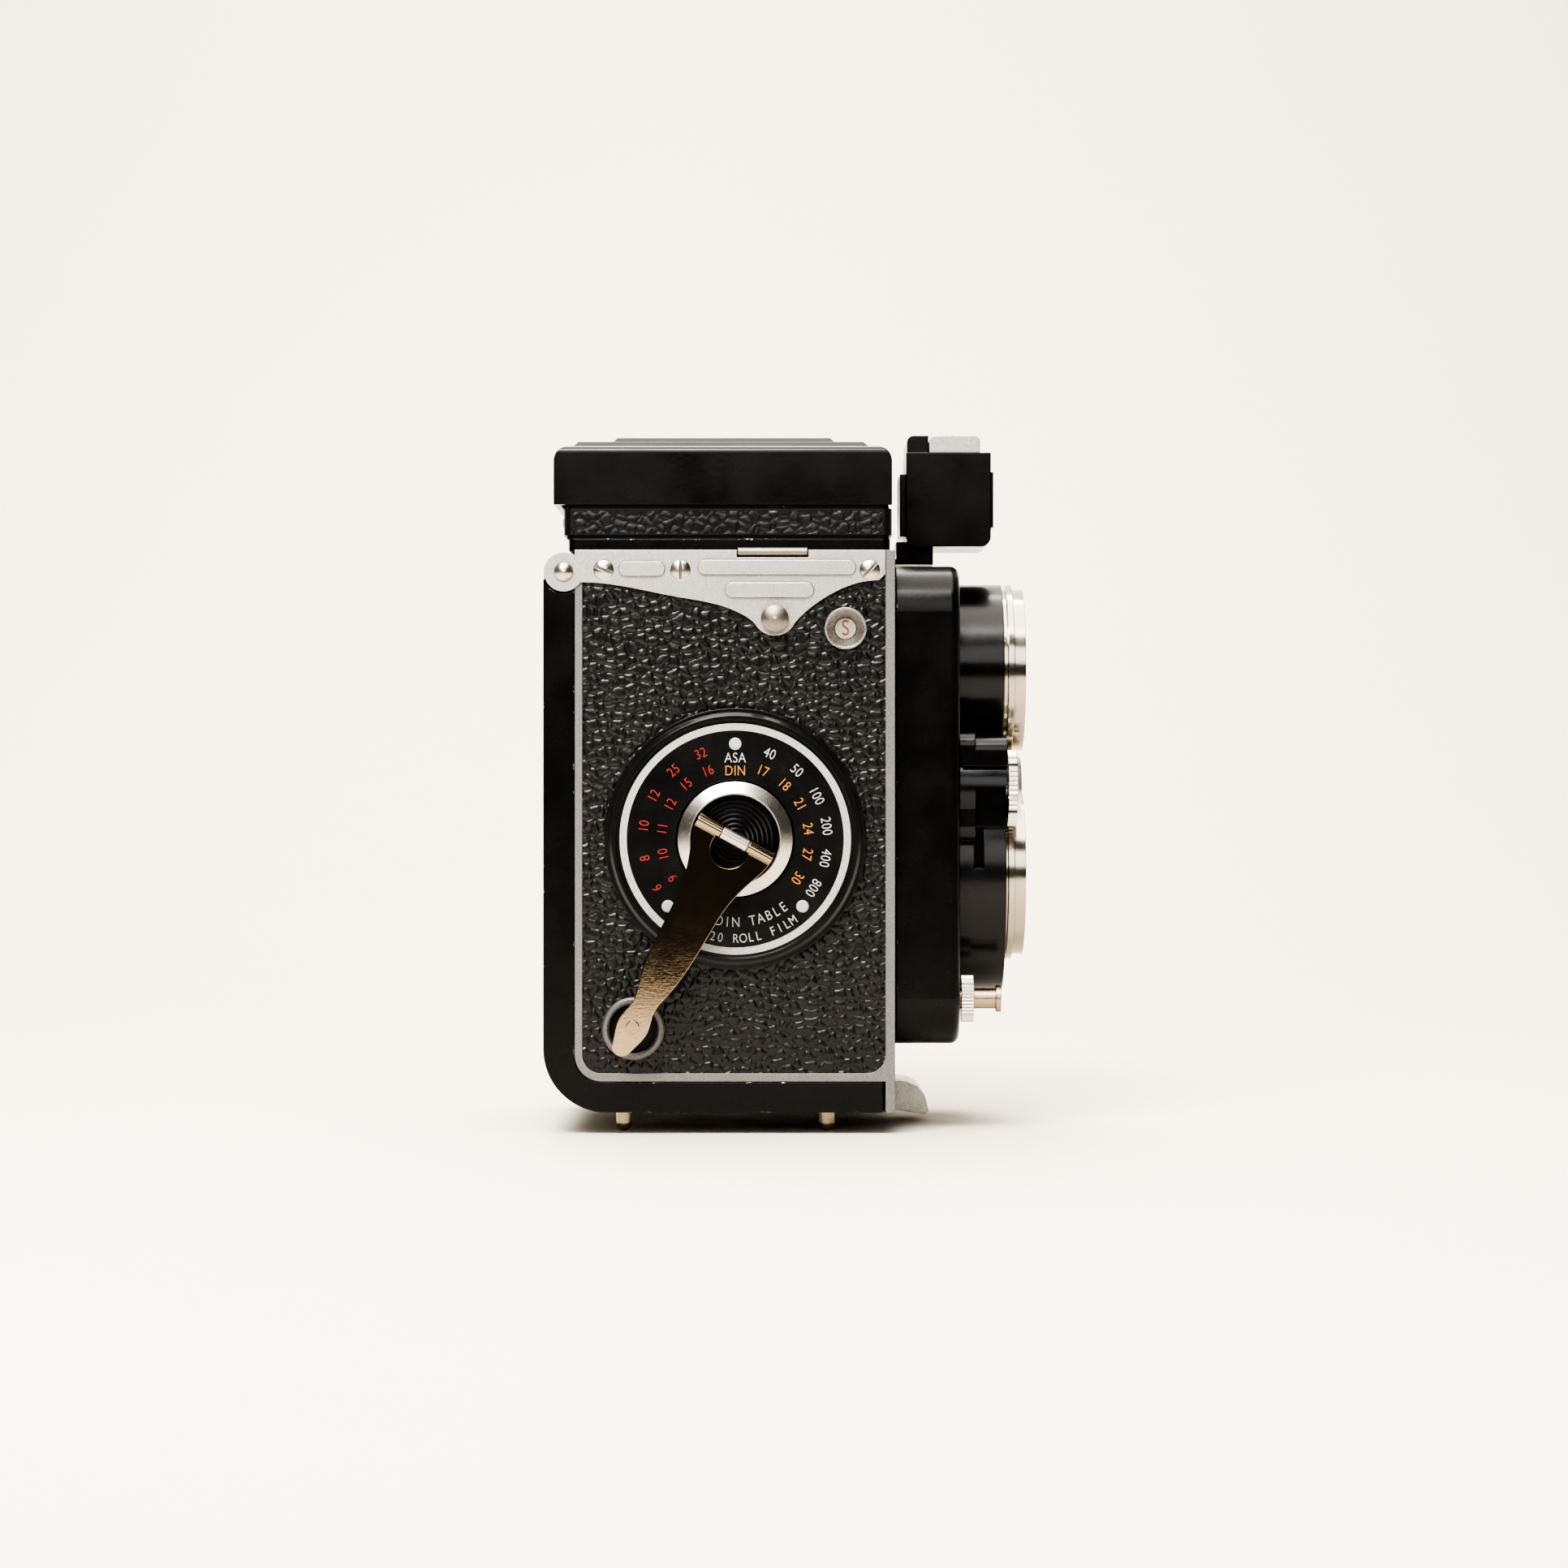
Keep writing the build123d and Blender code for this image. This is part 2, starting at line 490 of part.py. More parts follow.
def lens_glass(z, r, front_y, front_bulge, rear_y):
    """A lens with a convex front face."""
    ball_r = (r ** 2 + front_bulge ** 2) / (2 * front_bulge)
    middle_y = front_y + ball_r - (ball_r ** 2 - (r / 2) ** 2) ** 0.5
    rim_y = front_y + front_bulge
    outline = ThreePointArc((0, front_y), (r / 2, middle_y), (r, rim_y))
    outline = outline + Polyline((r, rim_y), (r, rear_y), (0, rear_y), (0, front_y))
    return Pos(0, 0, z) * revolve(make_face(outline), Axis.Y)


parts["lens_rings"] = solids_of(bayonet_ring(VIEW_Z), bayonet_ring(TAKE_Z))
taking_cell = lens_cell(TAKE_Z, 12.0) - rod_y(0, TAKE_Z, 12.6, (-40, -53.2))
parts["lens_cells"] = solids_of(lens_cell(VIEW_Z, 13.2), taking_cell)
parts["lens_glasses"] = solids_of(
    lens_glass(VIEW_Z, 13.1, -62.2, 3.0, -56.4),
    rod_y(0, VIEW_Z, 12.5, (-46.0, -49.5)),
    lens_glass(TAKE_Z, 11.9, -61.6, 2.6, -56.4),
    rod_y(0, TAKE_Z, 12.4, (-45.4, -48.4)),
)


def blades(count, hub_y, inner_r, outer_r, thickness):
    """Thin overlapping leaves, each a little deeper than the last."""
    leaves = []
    for i in range(count):
        span_angle = 360 / count
        y = hub_y - i * (thickness + 0.03)
        disc = front_prism(
            Circle(outer_r) - Circle(inner_r) if inner_r else Circle(outer_r), (y, y - thickness))
        wedge = front_prism(
            make_face(Polyline((0, 0), (40 * cos(radians(i * span_angle)), 40 * sin(radians(i * span_angle))),
                               (60 * cos(radians((i + 0.5) * span_angle)),
                                60 * sin(radians((i + 0.5) * span_angle))),
                               (40 * cos(radians((i + 1) * span_angle)),
                                40 * sin(radians((i + 1) * span_angle))), close=True)),
            (y, y - thickness))
        leaves.append(Pos(0, 0, TAKE_Z) * (disc & wedge))
    return leaves


parts["shutter_blades"] = solids_of(
    *blades(5, -49.0, 0, 12.2, 0.12),
    *blades(8, -50.6, 6.0, 12.2, 0.12),
)


def thumb_wheel(x):
    wheel = Pos(x, -61.2, WHEEL_Z) * Rot(90, 0, 0) * knurl(WHEEL_R, 1.9, 44, 0.45)
    cone = Pos(x, -63.55, WHEEL_Z) * Rot(90, 0, 0) * Cone(WHEEL_R - 0.7, WHEEL_R - 1.6, 0.9)
    return wheel + cone + rod_y(x, WHEEL_Z, 2.0, (-57.0, -61.2))


parts["aperture_wheel"] = thumb_wheel(WHEEL_X)
parts["speed_wheel"] = thumb_wheel(-WHEEL_X)

collar_ring = Pos(RELEASE_X, -51.2, RELEASE_Z) * Rot(90, 0, 0) * knurl(5.0, 2.6, 40, 0.35)
parts["release_collar"] = collar_ring - rod_y(RELEASE_X, RELEASE_Z, 2.16 + FIT, (-40, -60))
button = rod_y(RELEASE_X, RELEASE_Z, 2.16, (-47.4, -59.0))
button = button + rod_y(RELEASE_X, RELEASE_Z, 2.85, (-58.6, -59.7))
button = button - rod_y(RELEASE_X, RELEASE_Z, 1.2, (-56.0, -61))
parts["release_button"] = button
COIL_R, WIRE_R, COIL_PITCH = 1.6, 0.22, 1.2
coil = Helix(COIL_PITCH, 5.6, COIL_R)
wire = sweep(Plane(origin=coil @ 0, z_dir=coil % 0) * Circle(WIRE_R), coil)
parts["release_spring"] = Pos(RELEASE_X, -41.4, RELEASE_Z) * Rot(90, 0, 0) * wire
sync = rod_y(-RELEASE_X, RELEASE_Z, 4.0, (STANDARD_FRONT_Y, -54.5))
sync = sync - rod_y(-RELEASE_X, RELEASE_Z, 1.75, (-52.0, -60))
sync = sync - rod_y(-RELEASE_X, RELEASE_Z, 1.2, (-51.4, -52.1))
sync = sync + rod_y(-RELEASE_X, RELEASE_Z, 0.6, (-51.0, -51.9))
parts["sync_socket"] = sync

# ---------------------------------------------------------------- dial and crank
dial = rod_x(DIAL_Y, DIAL_Z, DIAL_R, (-WALL_X, DIAL_TOP_X + 1.2))
step = rod_x(DIAL_Y, DIAL_Z, DIAL_R - 1.0, (-WALL_X, DIAL_TOP_X))
dial = dial + chamfer(step.edges().filter_by(GeomType.CIRCLE).sort_by(Axis.X)[0], 0.6)
dial = dial - rod_x(DIAL_Y, DIAL_Z, 24.9, (DIAL_TOP_X + 0.5, DIAL_TOP_X - 1))
dial = dial - rod_x(DIAL_Y, DIAL_Z, HUB_R + GAP, (DIAL_TOP_X + 3.2, DIAL_TOP_X - 1))
dial = dial - rod_x(DIAL_Y, DIAL_Z, 4.0 + FIT, (-30, -45))
parts["dial_disc"] = dial

hub = rod_x(DIAL_Y, DIAL_Z, HUB_R, (DIAL_TOP_X + 2.9, HUB_RIM_X))
hub = hub + Pos((HUB_RIM_X + HUB_TOP_X) / 2, DIAL_Y, DIAL_Z) * Rot(0, -90, 0) * Cone(
    HUB_R, BOWL_R + 0.6, HUB_RIM_X - HUB_TOP_X)
hub = hub - rod_x(DIAL_Y, DIAL_Z, BOWL_R + 0.3, (DIAL_TOP_X + 1.0, -50))
hub = hub + rod_x(DIAL_Y, DIAL_Z, 4.0, (DIAL_TOP_X + 2.9, GEAR_X[1]))
# Barrel axis in the plane of the side: down towards the front.
BARREL_R, BARREL_HALF = 1.5, 8.8
MIDDLE_HALF = 3.0


def along_barrel(shape):
    """Takes a shape made along Y at the origin to the barrel's place."""
    return Pos(CRANK_X, DIAL_Y, DIAL_Z) * Rot(CRANK_TILT, 0, 0) * shape


lug = rod_y(0, 0, BARREL_R, (-MIDDLE_HALF, MIDDLE_HALF))
lug = lug + box((0, DIAL_TOP_X + 1.0 - CRANK_X), (-MIDDLE_HALF, MIDDLE_HALF), (-1.0, 1.0))
lug = lug + rod_y(0, 0, 0.5, (-BARREL_HALF, BARREL_HALF))
hub = hub + along_barrel(lug)
ARM_T = 1.5
blade = Spline(
    (0, 8.8), (-6, 7.3), (-12, 5.5), (-20, 4.8), (-30, 4.2), (-36, 3.1), (-39.5, 2.5), (-44, 3.3),
    (-48.5, 2.3), (-51, 0),
    tangents=[(-1, 0), (0, -1)],
)
lower_blade = mirror(blade, Plane.XZ)
arm_face = make_face(blade + lower_blade + Line((0, 8.8), (0, -8.8)))
arm_face = arm_face - Rectangle(4.4, 2 * MIDDLE_HALF + 0.8) - Rectangle(2.4, 20)
arm_face = arm_face - Pos(-2.4, 0) * Circle(4.0)
arm_plate = Plane((0, 0, 0), (0, 0, 1), (-1, 0, 0)) * arm_face
arm = Pos(ARM_T / 2, 0, 0) * extrude(arm_plate, ARM_T)
for side in (-1, 1):
    knuckle = rod_y(0, 0, BARREL_R, (side * (MIDDLE_HALF + 0.2), side * BARREL_HALF))
    arm = arm + knuckle
arm = arm - rod_y(0, 0, 0.5 + FIT, (-20, 20))
arm = arm - Pos(0, 0, -CRANK_REACH) * Rot(0, 90, 0) * Cylinder(1.0, 10)
parts["crank_arm"] = along_barrel(arm)
knob = Pos(0.75 + 1.55, 0, -CRANK_REACH) * Rot(0, 90, 0) * Cylinder(2.9, 3.1)
knob = fillet(knob.edges().filter_by(GeomType.CIRCLE), 0.5)
stem = Pos(0.2, 0, -CRANK_REACH) * Rot(0, 90, 0) * Cylinder(0.95, 1.9)
cap = Pos(-1.0, 0, -CRANK_REACH) * Rot(0, 90, 0) * Cylinder(1.3, 0.5)
parts["crank_knob"] = along_barrel(knob + stem + cap)
park = rod_x(PARK_Y, PARK_Z, 6.6, (-SKIN_X, -SKIN_X - 1.3)) - rod_x(PARK_Y, PARK_Z, 5.1, (-30, -40))
park = chamfer(park.edges().filter_by(GeomType.CIRCLE).sort_by(Axis.X)[:2], 0.4)
parts["parking_ring"] = park


def geared(face, y, z):
    return Pos(0, y, z) * side_prism(face, GEAR_X)


crank_phase = degrees(idler_angle)
idler_phase = degrees(idler_angle) + 180 + 180 / IDLER_TEETH
to_takeup = degrees(atan2(TAKEUP_Z - IDLER_Z, TAKEUP_Y - IDLER_Y))
# The idler's own tooth nearest the take-up line fixes how far the take-up gear is turned.
lead = (to_takeup - idler_phase) % (360 / IDLER_TEETH)
takeup_phase = to_takeup + 180 + lead * IDLER_TEETH / TAKEUP_TEETH + 180 / TAKEUP_TEETH
crank_gear = geared(gear(CRANK_TEETH, crank_phase), DIAL_Y, DIAL_Z)
parts["crank_hub"] = hub + crank_gear
idler = geared(gear(IDLER_TEETH, idler_phase), IDLER_Y, IDLER_Z)
parts["idler_gear"] = idler - rod_x(IDLER_Y, IDLER_Z, 1.5 + FIT, (-40, -30))
takeup = geared(gear(TAKEUP_TEETH, takeup_phase), TAKEUP_Y, TAKEUP_Z)
takeup = takeup - rod_x(TAKEUP_Y, TAKEUP_Z, 1.2 + FIT, (-40, -32.75))
parts["takeup_gear"] = takeup + rod_x(TAKEUP_Y, TAKEUP_Z, 2.4, (GEAR_X[1], -28.6))

# ---------------------------------------------------------------- film spools, rollers, spool knobs


def spool(y, z):
    core = rod_x(y, z, 5.8, (-SPOOL_HALF, SPOOL_HALF))
    for x in (-SPOOL_HALF, SPOOL_HALF - 1.0):
        core = core + rod_x(y, z, SPOOL_R, (x, x + 1.0))
    for xs in ((-40, 5 - SPOOL_HALF), (SPOOL_HALF - 5, 40)):
        core = core - rod_x(y, z, 2.4 + FIT, xs)
    return core


def spool_knob(y, z):
    knob = Pos(SKIN_X + 0.3, y, z) * Rot(0, 90, 0) * knurl(7.0, 4.2, 40, 0.4)
    knob = knob - rod_x(y, z, 5.2, (SKIN_X + 3.7, SKIN_X + 8))
    return knob + rod_x(y, z, 2.4, (28.6, SKIN_X + 0.3))


parts["takeup_spool"] = spool(TAKEUP_Y, TAKEUP_Z)
parts["supply_spool"] = spool(SUPPLY_Y, SUPPLY_Z)
parts["spool_knob_upper"] = spool_knob(TAKEUP_Y, TAKEUP_Z)
parts["spool_knob_lower"] = spool_knob(SUPPLY_Y, SUPPLY_Z)
for name, z in zip(("lower_roller", "upper_roller"), ROLLER_ZS):
    roller = rod_x(ROLLER_Y, z, 1.8, (-31.4, 31.4)) + rod_x(ROLLER_Y, z, 0.8, (-34.2, 34.2))
    parts[name] = roller

# ---------------------------------------------------------------- frame counter
bezel = rod_x(COUNTER_Y, COUNTER_Z, 4.4, (-WALL_X, -38.4))
cup = Pos(-37.4, COUNTER_Y, COUNTER_Z) * Rot(0, -90, 0) * Cone(2.3, 4.0, 2.1)
parts["counter_bezel"] = bezel - cup - rod_x(COUNTER_Y, COUNTER_Z, 2.3, (-30, -40))
parts["counter_window"] = rod_x(COUNTER_Y, COUNTER_Z, 2.25, (-35.2, -36.3))
counter_dial = rod_x(COUNTER_DIAL_Y, COUNTER_Z, 7.2, (-33.4, -32.9))
parts["counter_dial"] = counter_dial - rod_x(COUNTER_DIAL_Y, COUNTER_Z, 0.8 + FIT, (-40, -30))

# ---------------------------------------------------------------- focusing knob and cam
knob = Pos(SKIN_X + 0.4, FOCUS_Y, FOCUS_Z) * Rot(0, 90, 0) * knurl(17.0, 7.0, 72, 0.5)
knob = knob + rod_x(FOCUS_Y, FOCUS_Z, 19.5, (SKIN_X + 0.4, SKIN_X + 2.0))
knob = knob - rod_x(FOCUS_Y, FOCUS_Z, 14.5, (SKIN_X + 6.6, SKIN_X + 10))
knob = knob + rod_x(FOCUS_Y, FOCUS_Z, 3.0, (27.0, SKIN_X + 0.4))
CAM_STEPS = 40
cam_points = []
for i in range(CAM_STEPS + 1):
    turn = FOCUS_TURN * i / CAM_STEPS
    r = CAM_R + FOCUS_TRAVEL * i / CAM_STEPS
    angle = radians(180 - turn)
    cam_points.append((r * cos(angle), r * sin(angle)))
OUTER_DWELL, INNER_DWELL = radians(-134), radians(194)
outer_r = CAM_R + FOCUS_TRAVEL
cam_points.append((outer_r * cos(OUTER_DWELL), outer_r * sin(OUTER_DWELL)))
cam_points.append((CAM_R * cos(INNER_DWELL), CAM_R * sin(INNER_DWELL)))
cam = Pos(0, FOCUS_Y, FOCUS_Z) * side_prism(make_face(Polyline(*cam_points, close=True)), (27.1, 29.5))
parts["focus_knob"] = knob + cam

# ---------------------------------------------------------------- finder hood
BASE_X = 35.0
BASE_YS = (-36.3, 32.7)


def frame(half, ys, zs, wall, r):
    outer = Pos(0, 0, zs[0]) * extrude(rounded_rect((-half, half), ys, r), zs[1] - zs[0])
    inner = rounded_rect((wall - half, half - wall), (ys[0] + wall, ys[1] - wall), max(r - wall, 0.3))
    return outer - Pos(0, 0, zs[0] - 1) * extrude(inner, zs[1] - zs[0] + 2)


seat = frame(34.6, (-35.9, 31.7), (TOP_Z, 120.4), 3.0, 1.5)
base = frame(BASE_X - 0.6, (BASE_YS[0] + 0.6, BASE_YS[1] - 0.6), (120.4, HOOD_Z), 2.2, 1.2)
lip_frame = frame(33.2, (-34.7, 32.0), (HOOD_Z, 132.3), 1.1, 0.8)
front_screen = box((-33.2, 33.2), (-35.6, -34.7), (HOOD_Z, 134.0))
base = base + seat + lip_frame + front_screen
LUG_XS = ((-16.0, -8.0), (8.0, 16.0))
for xs in LUG_XS:
    base = base + box(xs, (-34.7, -33.6), (131, LID_PIVOT[1])) + rod_x(*LID_PIVOT, 1.2, xs)
base = base - rod_x(*LID_PIVOT, 0.5, (-40, 40))
base = base - box((-3.2, 3.2), (28, 40), (125.1, 126.5))
for x in (-PANEL_X, PANEL_X):
    base = base - rod_y(x, PANEL_Z, 0.4, (-34.2, 31.5))
base = base - rod_x(BACK_PANEL_Y, BACK_PANEL_Z, 0.4, (-32.7, 32.7))
parts["hood_base"] = base
band = frame(BASE_X, BASE_YS, (121.2, HOOD_Z - 0.6), 0.6, 1.8)
parts["hood_leather"] = band - box((-3.2, 3.2), (28, 40), (125.1, 126.5))
rods = [rod_x(*LID_PIVOT, 0.5, (-24, 24))]
for x in (-PANEL_X, PANEL_X):
    rods.append(rod_y(x, PANEL_Z, 0.4, (-34.2, 31.5)))
rods.append(rod_x(BACK_PANEL_Y, BACK_PANEL_Z, 0.4, (-32.7, 32.7)))
parts["hood_rods"] = solids_of(*rods)
catch = box((-5, 5), (33.6, 34.5), (124.8, 126.7)) + box((-3, 3), (29.4, 33.6), (125.2, 126.4))
parts["hood_catch"] = catch

LID_X = 35.4
LID_YS = (-36.3, 34.8)
LID_BOTTOM_Z = HOOD_Z + 0.2
LID_R, LID_EDGE_R = 3.2, 1.4
lid_side = rounded_rect(LID_YS, (LID_BOTTOM_Z - 10, LID_TOP_Z), LID_R)
lid_front = rounded_rect((-LID_X, LID_X), (LID_BOTTOM_Z - 10, LID_TOP_Z), LID_EDGE_R)
lid = side_prism(lid_side, (-LID_X, LID_X)) & front_prism(lid_front, (-50, 50))
lid = lid - box((-50, 50), (-50, 50), (100, LID_BOTTOM_Z))
lid = lid - box((-33.8, 33.8), (LID_YS[0] - 1, 33.4), (120, 138.0))
# Two raised panels, one on the other, with sloped edges.
for half, ys, top in ((30.5, (-31.5, 31.0), 141.3), (24.0, (-24.5, 23.0), 142.7)):
    panel = box((-half, half), ys, (LID_TOP_Z - 1, top))
    lid = lid + chamfer(panel.faces().sort_by(Axis.Z)[-1].edges(), 1.1)
for xs in ((-7.7, 7.7), (16.3, 24.0), (-24.0, -16.3)):
    lid = lid + rod_x(*LID_PIVOT, 1.2, xs) + box(xs, (-34.6, -34.2), (LID_PIVOT[1] + 0.6, 138.2))
lid = lid - rod_x(*LID_PIVOT, 0.5 + FIT, (-24.2, 24.2))
parts["hood_lid"] = lid
magnifier = frame(14.5, (-12.0, 14.0), (134.0, 136.2), 2.4, 2.0)
magnifier = magnifier + box((-10, 10), (-12.0, -9.6), (136.2, 138.0))
magnifier = magnifier - rod_z(0, 1.0, 11.2, (130, 140))
parts["magnifier_frame"] = magnifier
parts["magnifier_glass"] = rod_z(0, 1.0, 11.15, (134.1, 136.1))

# Side panels lie flat under the lid; d is the distance from the lid's pivot.
SIDE_WIDTH, BACK_HEIGHT = 29.6, 22.0
pivot_y = LID_PIVOT[0]
flap = make_face(Polyline(
    (0, pivot_y + 3.0), (12, pivot_y + 4.0), (SIDE_WIDTH, pivot_y + 17.0),
    (SIDE_WIDTH, BACK_PANEL_Y - BACK_HEIGHT - 1.6), (BACK_HEIGHT, BACK_PANEL_Y - BACK_HEIGHT - 1.6),
    (1.0, BACK_PANEL_Y - 2.6), (0, BACK_PANEL_Y - 2.6), close=True,
))
flap = Pos(PANEL_X, 0, PANEL_Z - PANEL_T / 2) * mirror(extrude(flap, PANEL_T), Plane.YZ)
flap_ys = (pivot_y + 3.0, BACK_PANEL_Y - 2.6)
flap = flap + rod_y(PANEL_X, PANEL_Z, 0.8, flap_ys) - rod_y(PANEL_X, PANEL_Z, 0.4 + FIT, (-40, 40))
parts["hood_side_right"] = flap
parts["hood_side_left"] = mirror(flap, Plane.YZ)
back_flap = box((-28.6, 28.6), (BACK_PANEL_Y - BACK_HEIGHT, BACK_PANEL_Y),
                (BACK_PANEL_Z - PANEL_T / 2, BACK_PANEL_Z + PANEL_T / 2))
back_flap = back_flap + rod_x(BACK_PANEL_Y, BACK_PANEL_Z, 0.8, (-28.6, 28.6))
parts["hood_back_panel"] = back_flap - rod_x(BACK_PANEL_Y, BACK_PANEL_Z, 0.4 + FIT, (-40, 40))

# ---------------------------------------------------------------- box above the viewing lens
METER_X = 12.0
METER_YS, METER_ZS = (-58.3, -40.0), (120.2, 140.5)
CELL_YS, CELL_ZS = (-57.6, -55.6), (125.8, 135.0)
meter = box((-METER_X, METER_X), METER_YS, METER_ZS)
meter = fillet(meter.edges().filter_by(Axis.X).sort_by(Axis.Z)[:2], 2.2)
meter = meter + box((2 - METER_X, METER_X - 2), (METER_YS[1], -38.7), (122.5, 136.0))
meter = meter + box((1.2 - METER_X, METER_X - 1.2), (METER_YS[0] - 0.6, METER_YS[0]), (124.4, 136.4))
meter = meter + box((-7, 7), (-46.0, -38.0), (116.6, 121.5))
meter = meter + box((-7, 7), (-38.1, FRONT_Y), (116.6, 117.8))
cell_xs = (2.5 - METER_X, METER_X - 2.5)
meter = meter - box(cell_xs, (METER_YS[0] - 1, CELL_YS[1]), CELL_ZS)
parts["meter_cell"] = box(cell_xs, CELL_YS, CELL_ZS)
# A dark block stands beside the silver cover on top.
block = box((0.5 - METER_X, METER_X - 0.5), (-44.8, -40.2), (METER_ZS[1] - 1, 144.2))
parts["meter_box"] = meter + fillet(block.edges().filter_by(Axis.X).sort_by(Axis.Z)[-1], 1.4)
cover = box((0.5 - METER_X, METER_X - 0.5), (-56.0, -45.0), (METER_ZS[1], 144.2))
parts["meter_cover"] = fillet(cover.edges().filter_by(Axis.X).sort_by(Axis.Z)[-2:], 1.3)

for name, shape in parts.items():
    shape.label = name
    export_step(shape, f"parts/{name}.step")
print(len(parts), "nodes")
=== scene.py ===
"""Looks for the twin lens reflex camera: materials, fine detail, light and camera, in metres."""

from math import cos, pi, radians, sin

import bmesh
import bpy
from mathutils import Matrix, Vector, noise


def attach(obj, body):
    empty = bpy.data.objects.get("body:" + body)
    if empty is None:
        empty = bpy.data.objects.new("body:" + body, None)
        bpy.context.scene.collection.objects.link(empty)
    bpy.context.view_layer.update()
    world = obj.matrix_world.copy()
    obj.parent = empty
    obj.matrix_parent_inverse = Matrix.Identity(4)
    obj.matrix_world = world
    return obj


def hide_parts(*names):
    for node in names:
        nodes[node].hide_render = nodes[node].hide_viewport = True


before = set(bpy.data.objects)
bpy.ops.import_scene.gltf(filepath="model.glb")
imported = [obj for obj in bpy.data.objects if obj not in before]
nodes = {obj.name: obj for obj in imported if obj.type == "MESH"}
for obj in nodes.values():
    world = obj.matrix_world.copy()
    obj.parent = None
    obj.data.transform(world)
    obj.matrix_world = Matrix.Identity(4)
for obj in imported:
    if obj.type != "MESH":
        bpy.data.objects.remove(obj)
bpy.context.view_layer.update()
MM = 0.001


# ---------------------------------------------------------------- node helpers


class Mat:
    """A material with a Principled shader and short calls for the nodes around it."""

    def __init__(self, name, metallic=0.0, coat=0.0, specular=0.5):
        self.material = bpy.data.materials.new(name)
        self.material.use_nodes = True
        self.tree = self.material.node_tree
        self.shader = self.tree.nodes["Principled BSDF"]
        self.shader.inputs["Metallic"].default_value = metallic
        self.shader.inputs["Coat Weight"].default_value = coat
        self.shader.inputs["Coat Roughness"].default_value = 0.12
        self.shader.inputs["Specular IOR Level"].default_value = specular
        self.place = self.tree.nodes.new("ShaderNodeTexCoord").outputs["Object"]

    def link(self, source, target):
        self.tree.links.new(source, target)

    def noise(self, scale, detail=4.0, rough=0.55, stretch=None):
        node = self.tree.nodes.new("ShaderNodeTexNoise")
        node.inputs["Scale"].default_value = scale
        node.inputs["Detail"].default_value = detail
        node.inputs["Roughness"].default_value = rough
        self.link(self.stretched(stretch), node.inputs["Vector"])
        return node.outputs["Fac"]

    def stretched(self, stretch):
        if stretch is None:
            return self.place
        mapping = self.tree.nodes.new("ShaderNodeMapping")
        mapping.inputs["Scale"].default_value = stretch
        self.link(self.place, mapping.inputs["Vector"])
        return mapping.outputs["Vector"]

    def ramp(self, fac, low, high, start=0.0, end=1.0):
        node = self.tree.nodes.new("ShaderNodeMapRange")
        node.inputs["From Min"].default_value = low
        node.inputs["From Max"].default_value = high
        node.inputs["To Min"].default_value = start
        node.inputs["To Max"].default_value = end
        self.link(fac, node.inputs["Value"])
        return node.outputs["Result"]

    def maths(self, kind, a, b):
        node = self.tree.nodes.new("ShaderNodeMath")
        node.operation = kind
        for value, socket in ((a, node.inputs[0]), (b, node.inputs[1])):
            if isinstance(value, (int, float)):
                socket.default_value = value
            else:
                self.link(value, socket)
        return node.outputs[0]

    def mix(self, fac, a, b):
        node = self.tree.nodes.new("ShaderNodeMix")
        node.data_type = "RGBA"
        self.link(fac, node.inputs["Factor"])
        for value, socket in ((a, node.inputs["A"]), (b, node.inputs["B"])):
            if isinstance(value, tuple):
                socket.default_value = (*value, 1.0)
            else:
                self.link(value, socket)
        return node.outputs["Result"]

    def edges(self, radius):
        """Near 1 on sharp edges within the radius, 0 on flats."""
        bevel = self.tree.nodes.new("ShaderNodeBevel")
        bevel.samples = 8
        bevel.inputs["Radius"].default_value = radius
        geometry = self.tree.nodes.new("ShaderNodeNewGeometry")
        dot = self.tree.nodes.new("ShaderNodeVectorMath")
        dot.operation = "DOT_PRODUCT"
        self.link(bevel.outputs["Normal"], dot.inputs[0])
        self.link(geometry.outputs["Normal"], dot.inputs[1])
        return self.ramp(dot.outputs["Value"], 0.995, 0.86)

    def cavity(self, distance):
        node = self.tree.nodes.new("ShaderNodeAmbientOcclusion")
        node.samples = 8
        node.inputs["Distance"].default_value = distance
        return self.ramp(node.outputs["AO"], 0.85, 0.35)

    def colour(self, value):
        if isinstance(value, tuple):
            self.shader.inputs["Base Color"].default_value = (*value, 1.0)
        else:
            self.link(value, self.shader.inputs["Base Color"])

    def roughness(self, value):
        if isinstance(value, (int, float)):
            self.shader.inputs["Roughness"].default_value = value
        else:
            self.link(value, self.shader.inputs["Roughness"])

    def metal(self, value):
        self.link(value, self.shader.inputs["Metallic"])

    def bump(self, heights, round_radius=0.0):
        """Each height is (factor, depth in metres); round_radius softens sharp edges."""
        normal = None
        if round_radius:
            bevel = self.tree.nodes.new("ShaderNodeBevel")
            bevel.samples = 6
            bevel.inputs["Radius"].default_value = round_radius
            normal = bevel.outputs["Normal"]
        for fac, depth in heights:
            node = self.tree.nodes.new("ShaderNodeBump")
            node.inputs["Distance"].default_value = depth
            self.link(fac, node.inputs["Height"])
            if normal is not None:
                self.link(normal, node.inputs["Normal"])
            normal = node.outputs["Normal"]
        if normal is not None:
            self.link(normal, self.shader.inputs["Normal"])


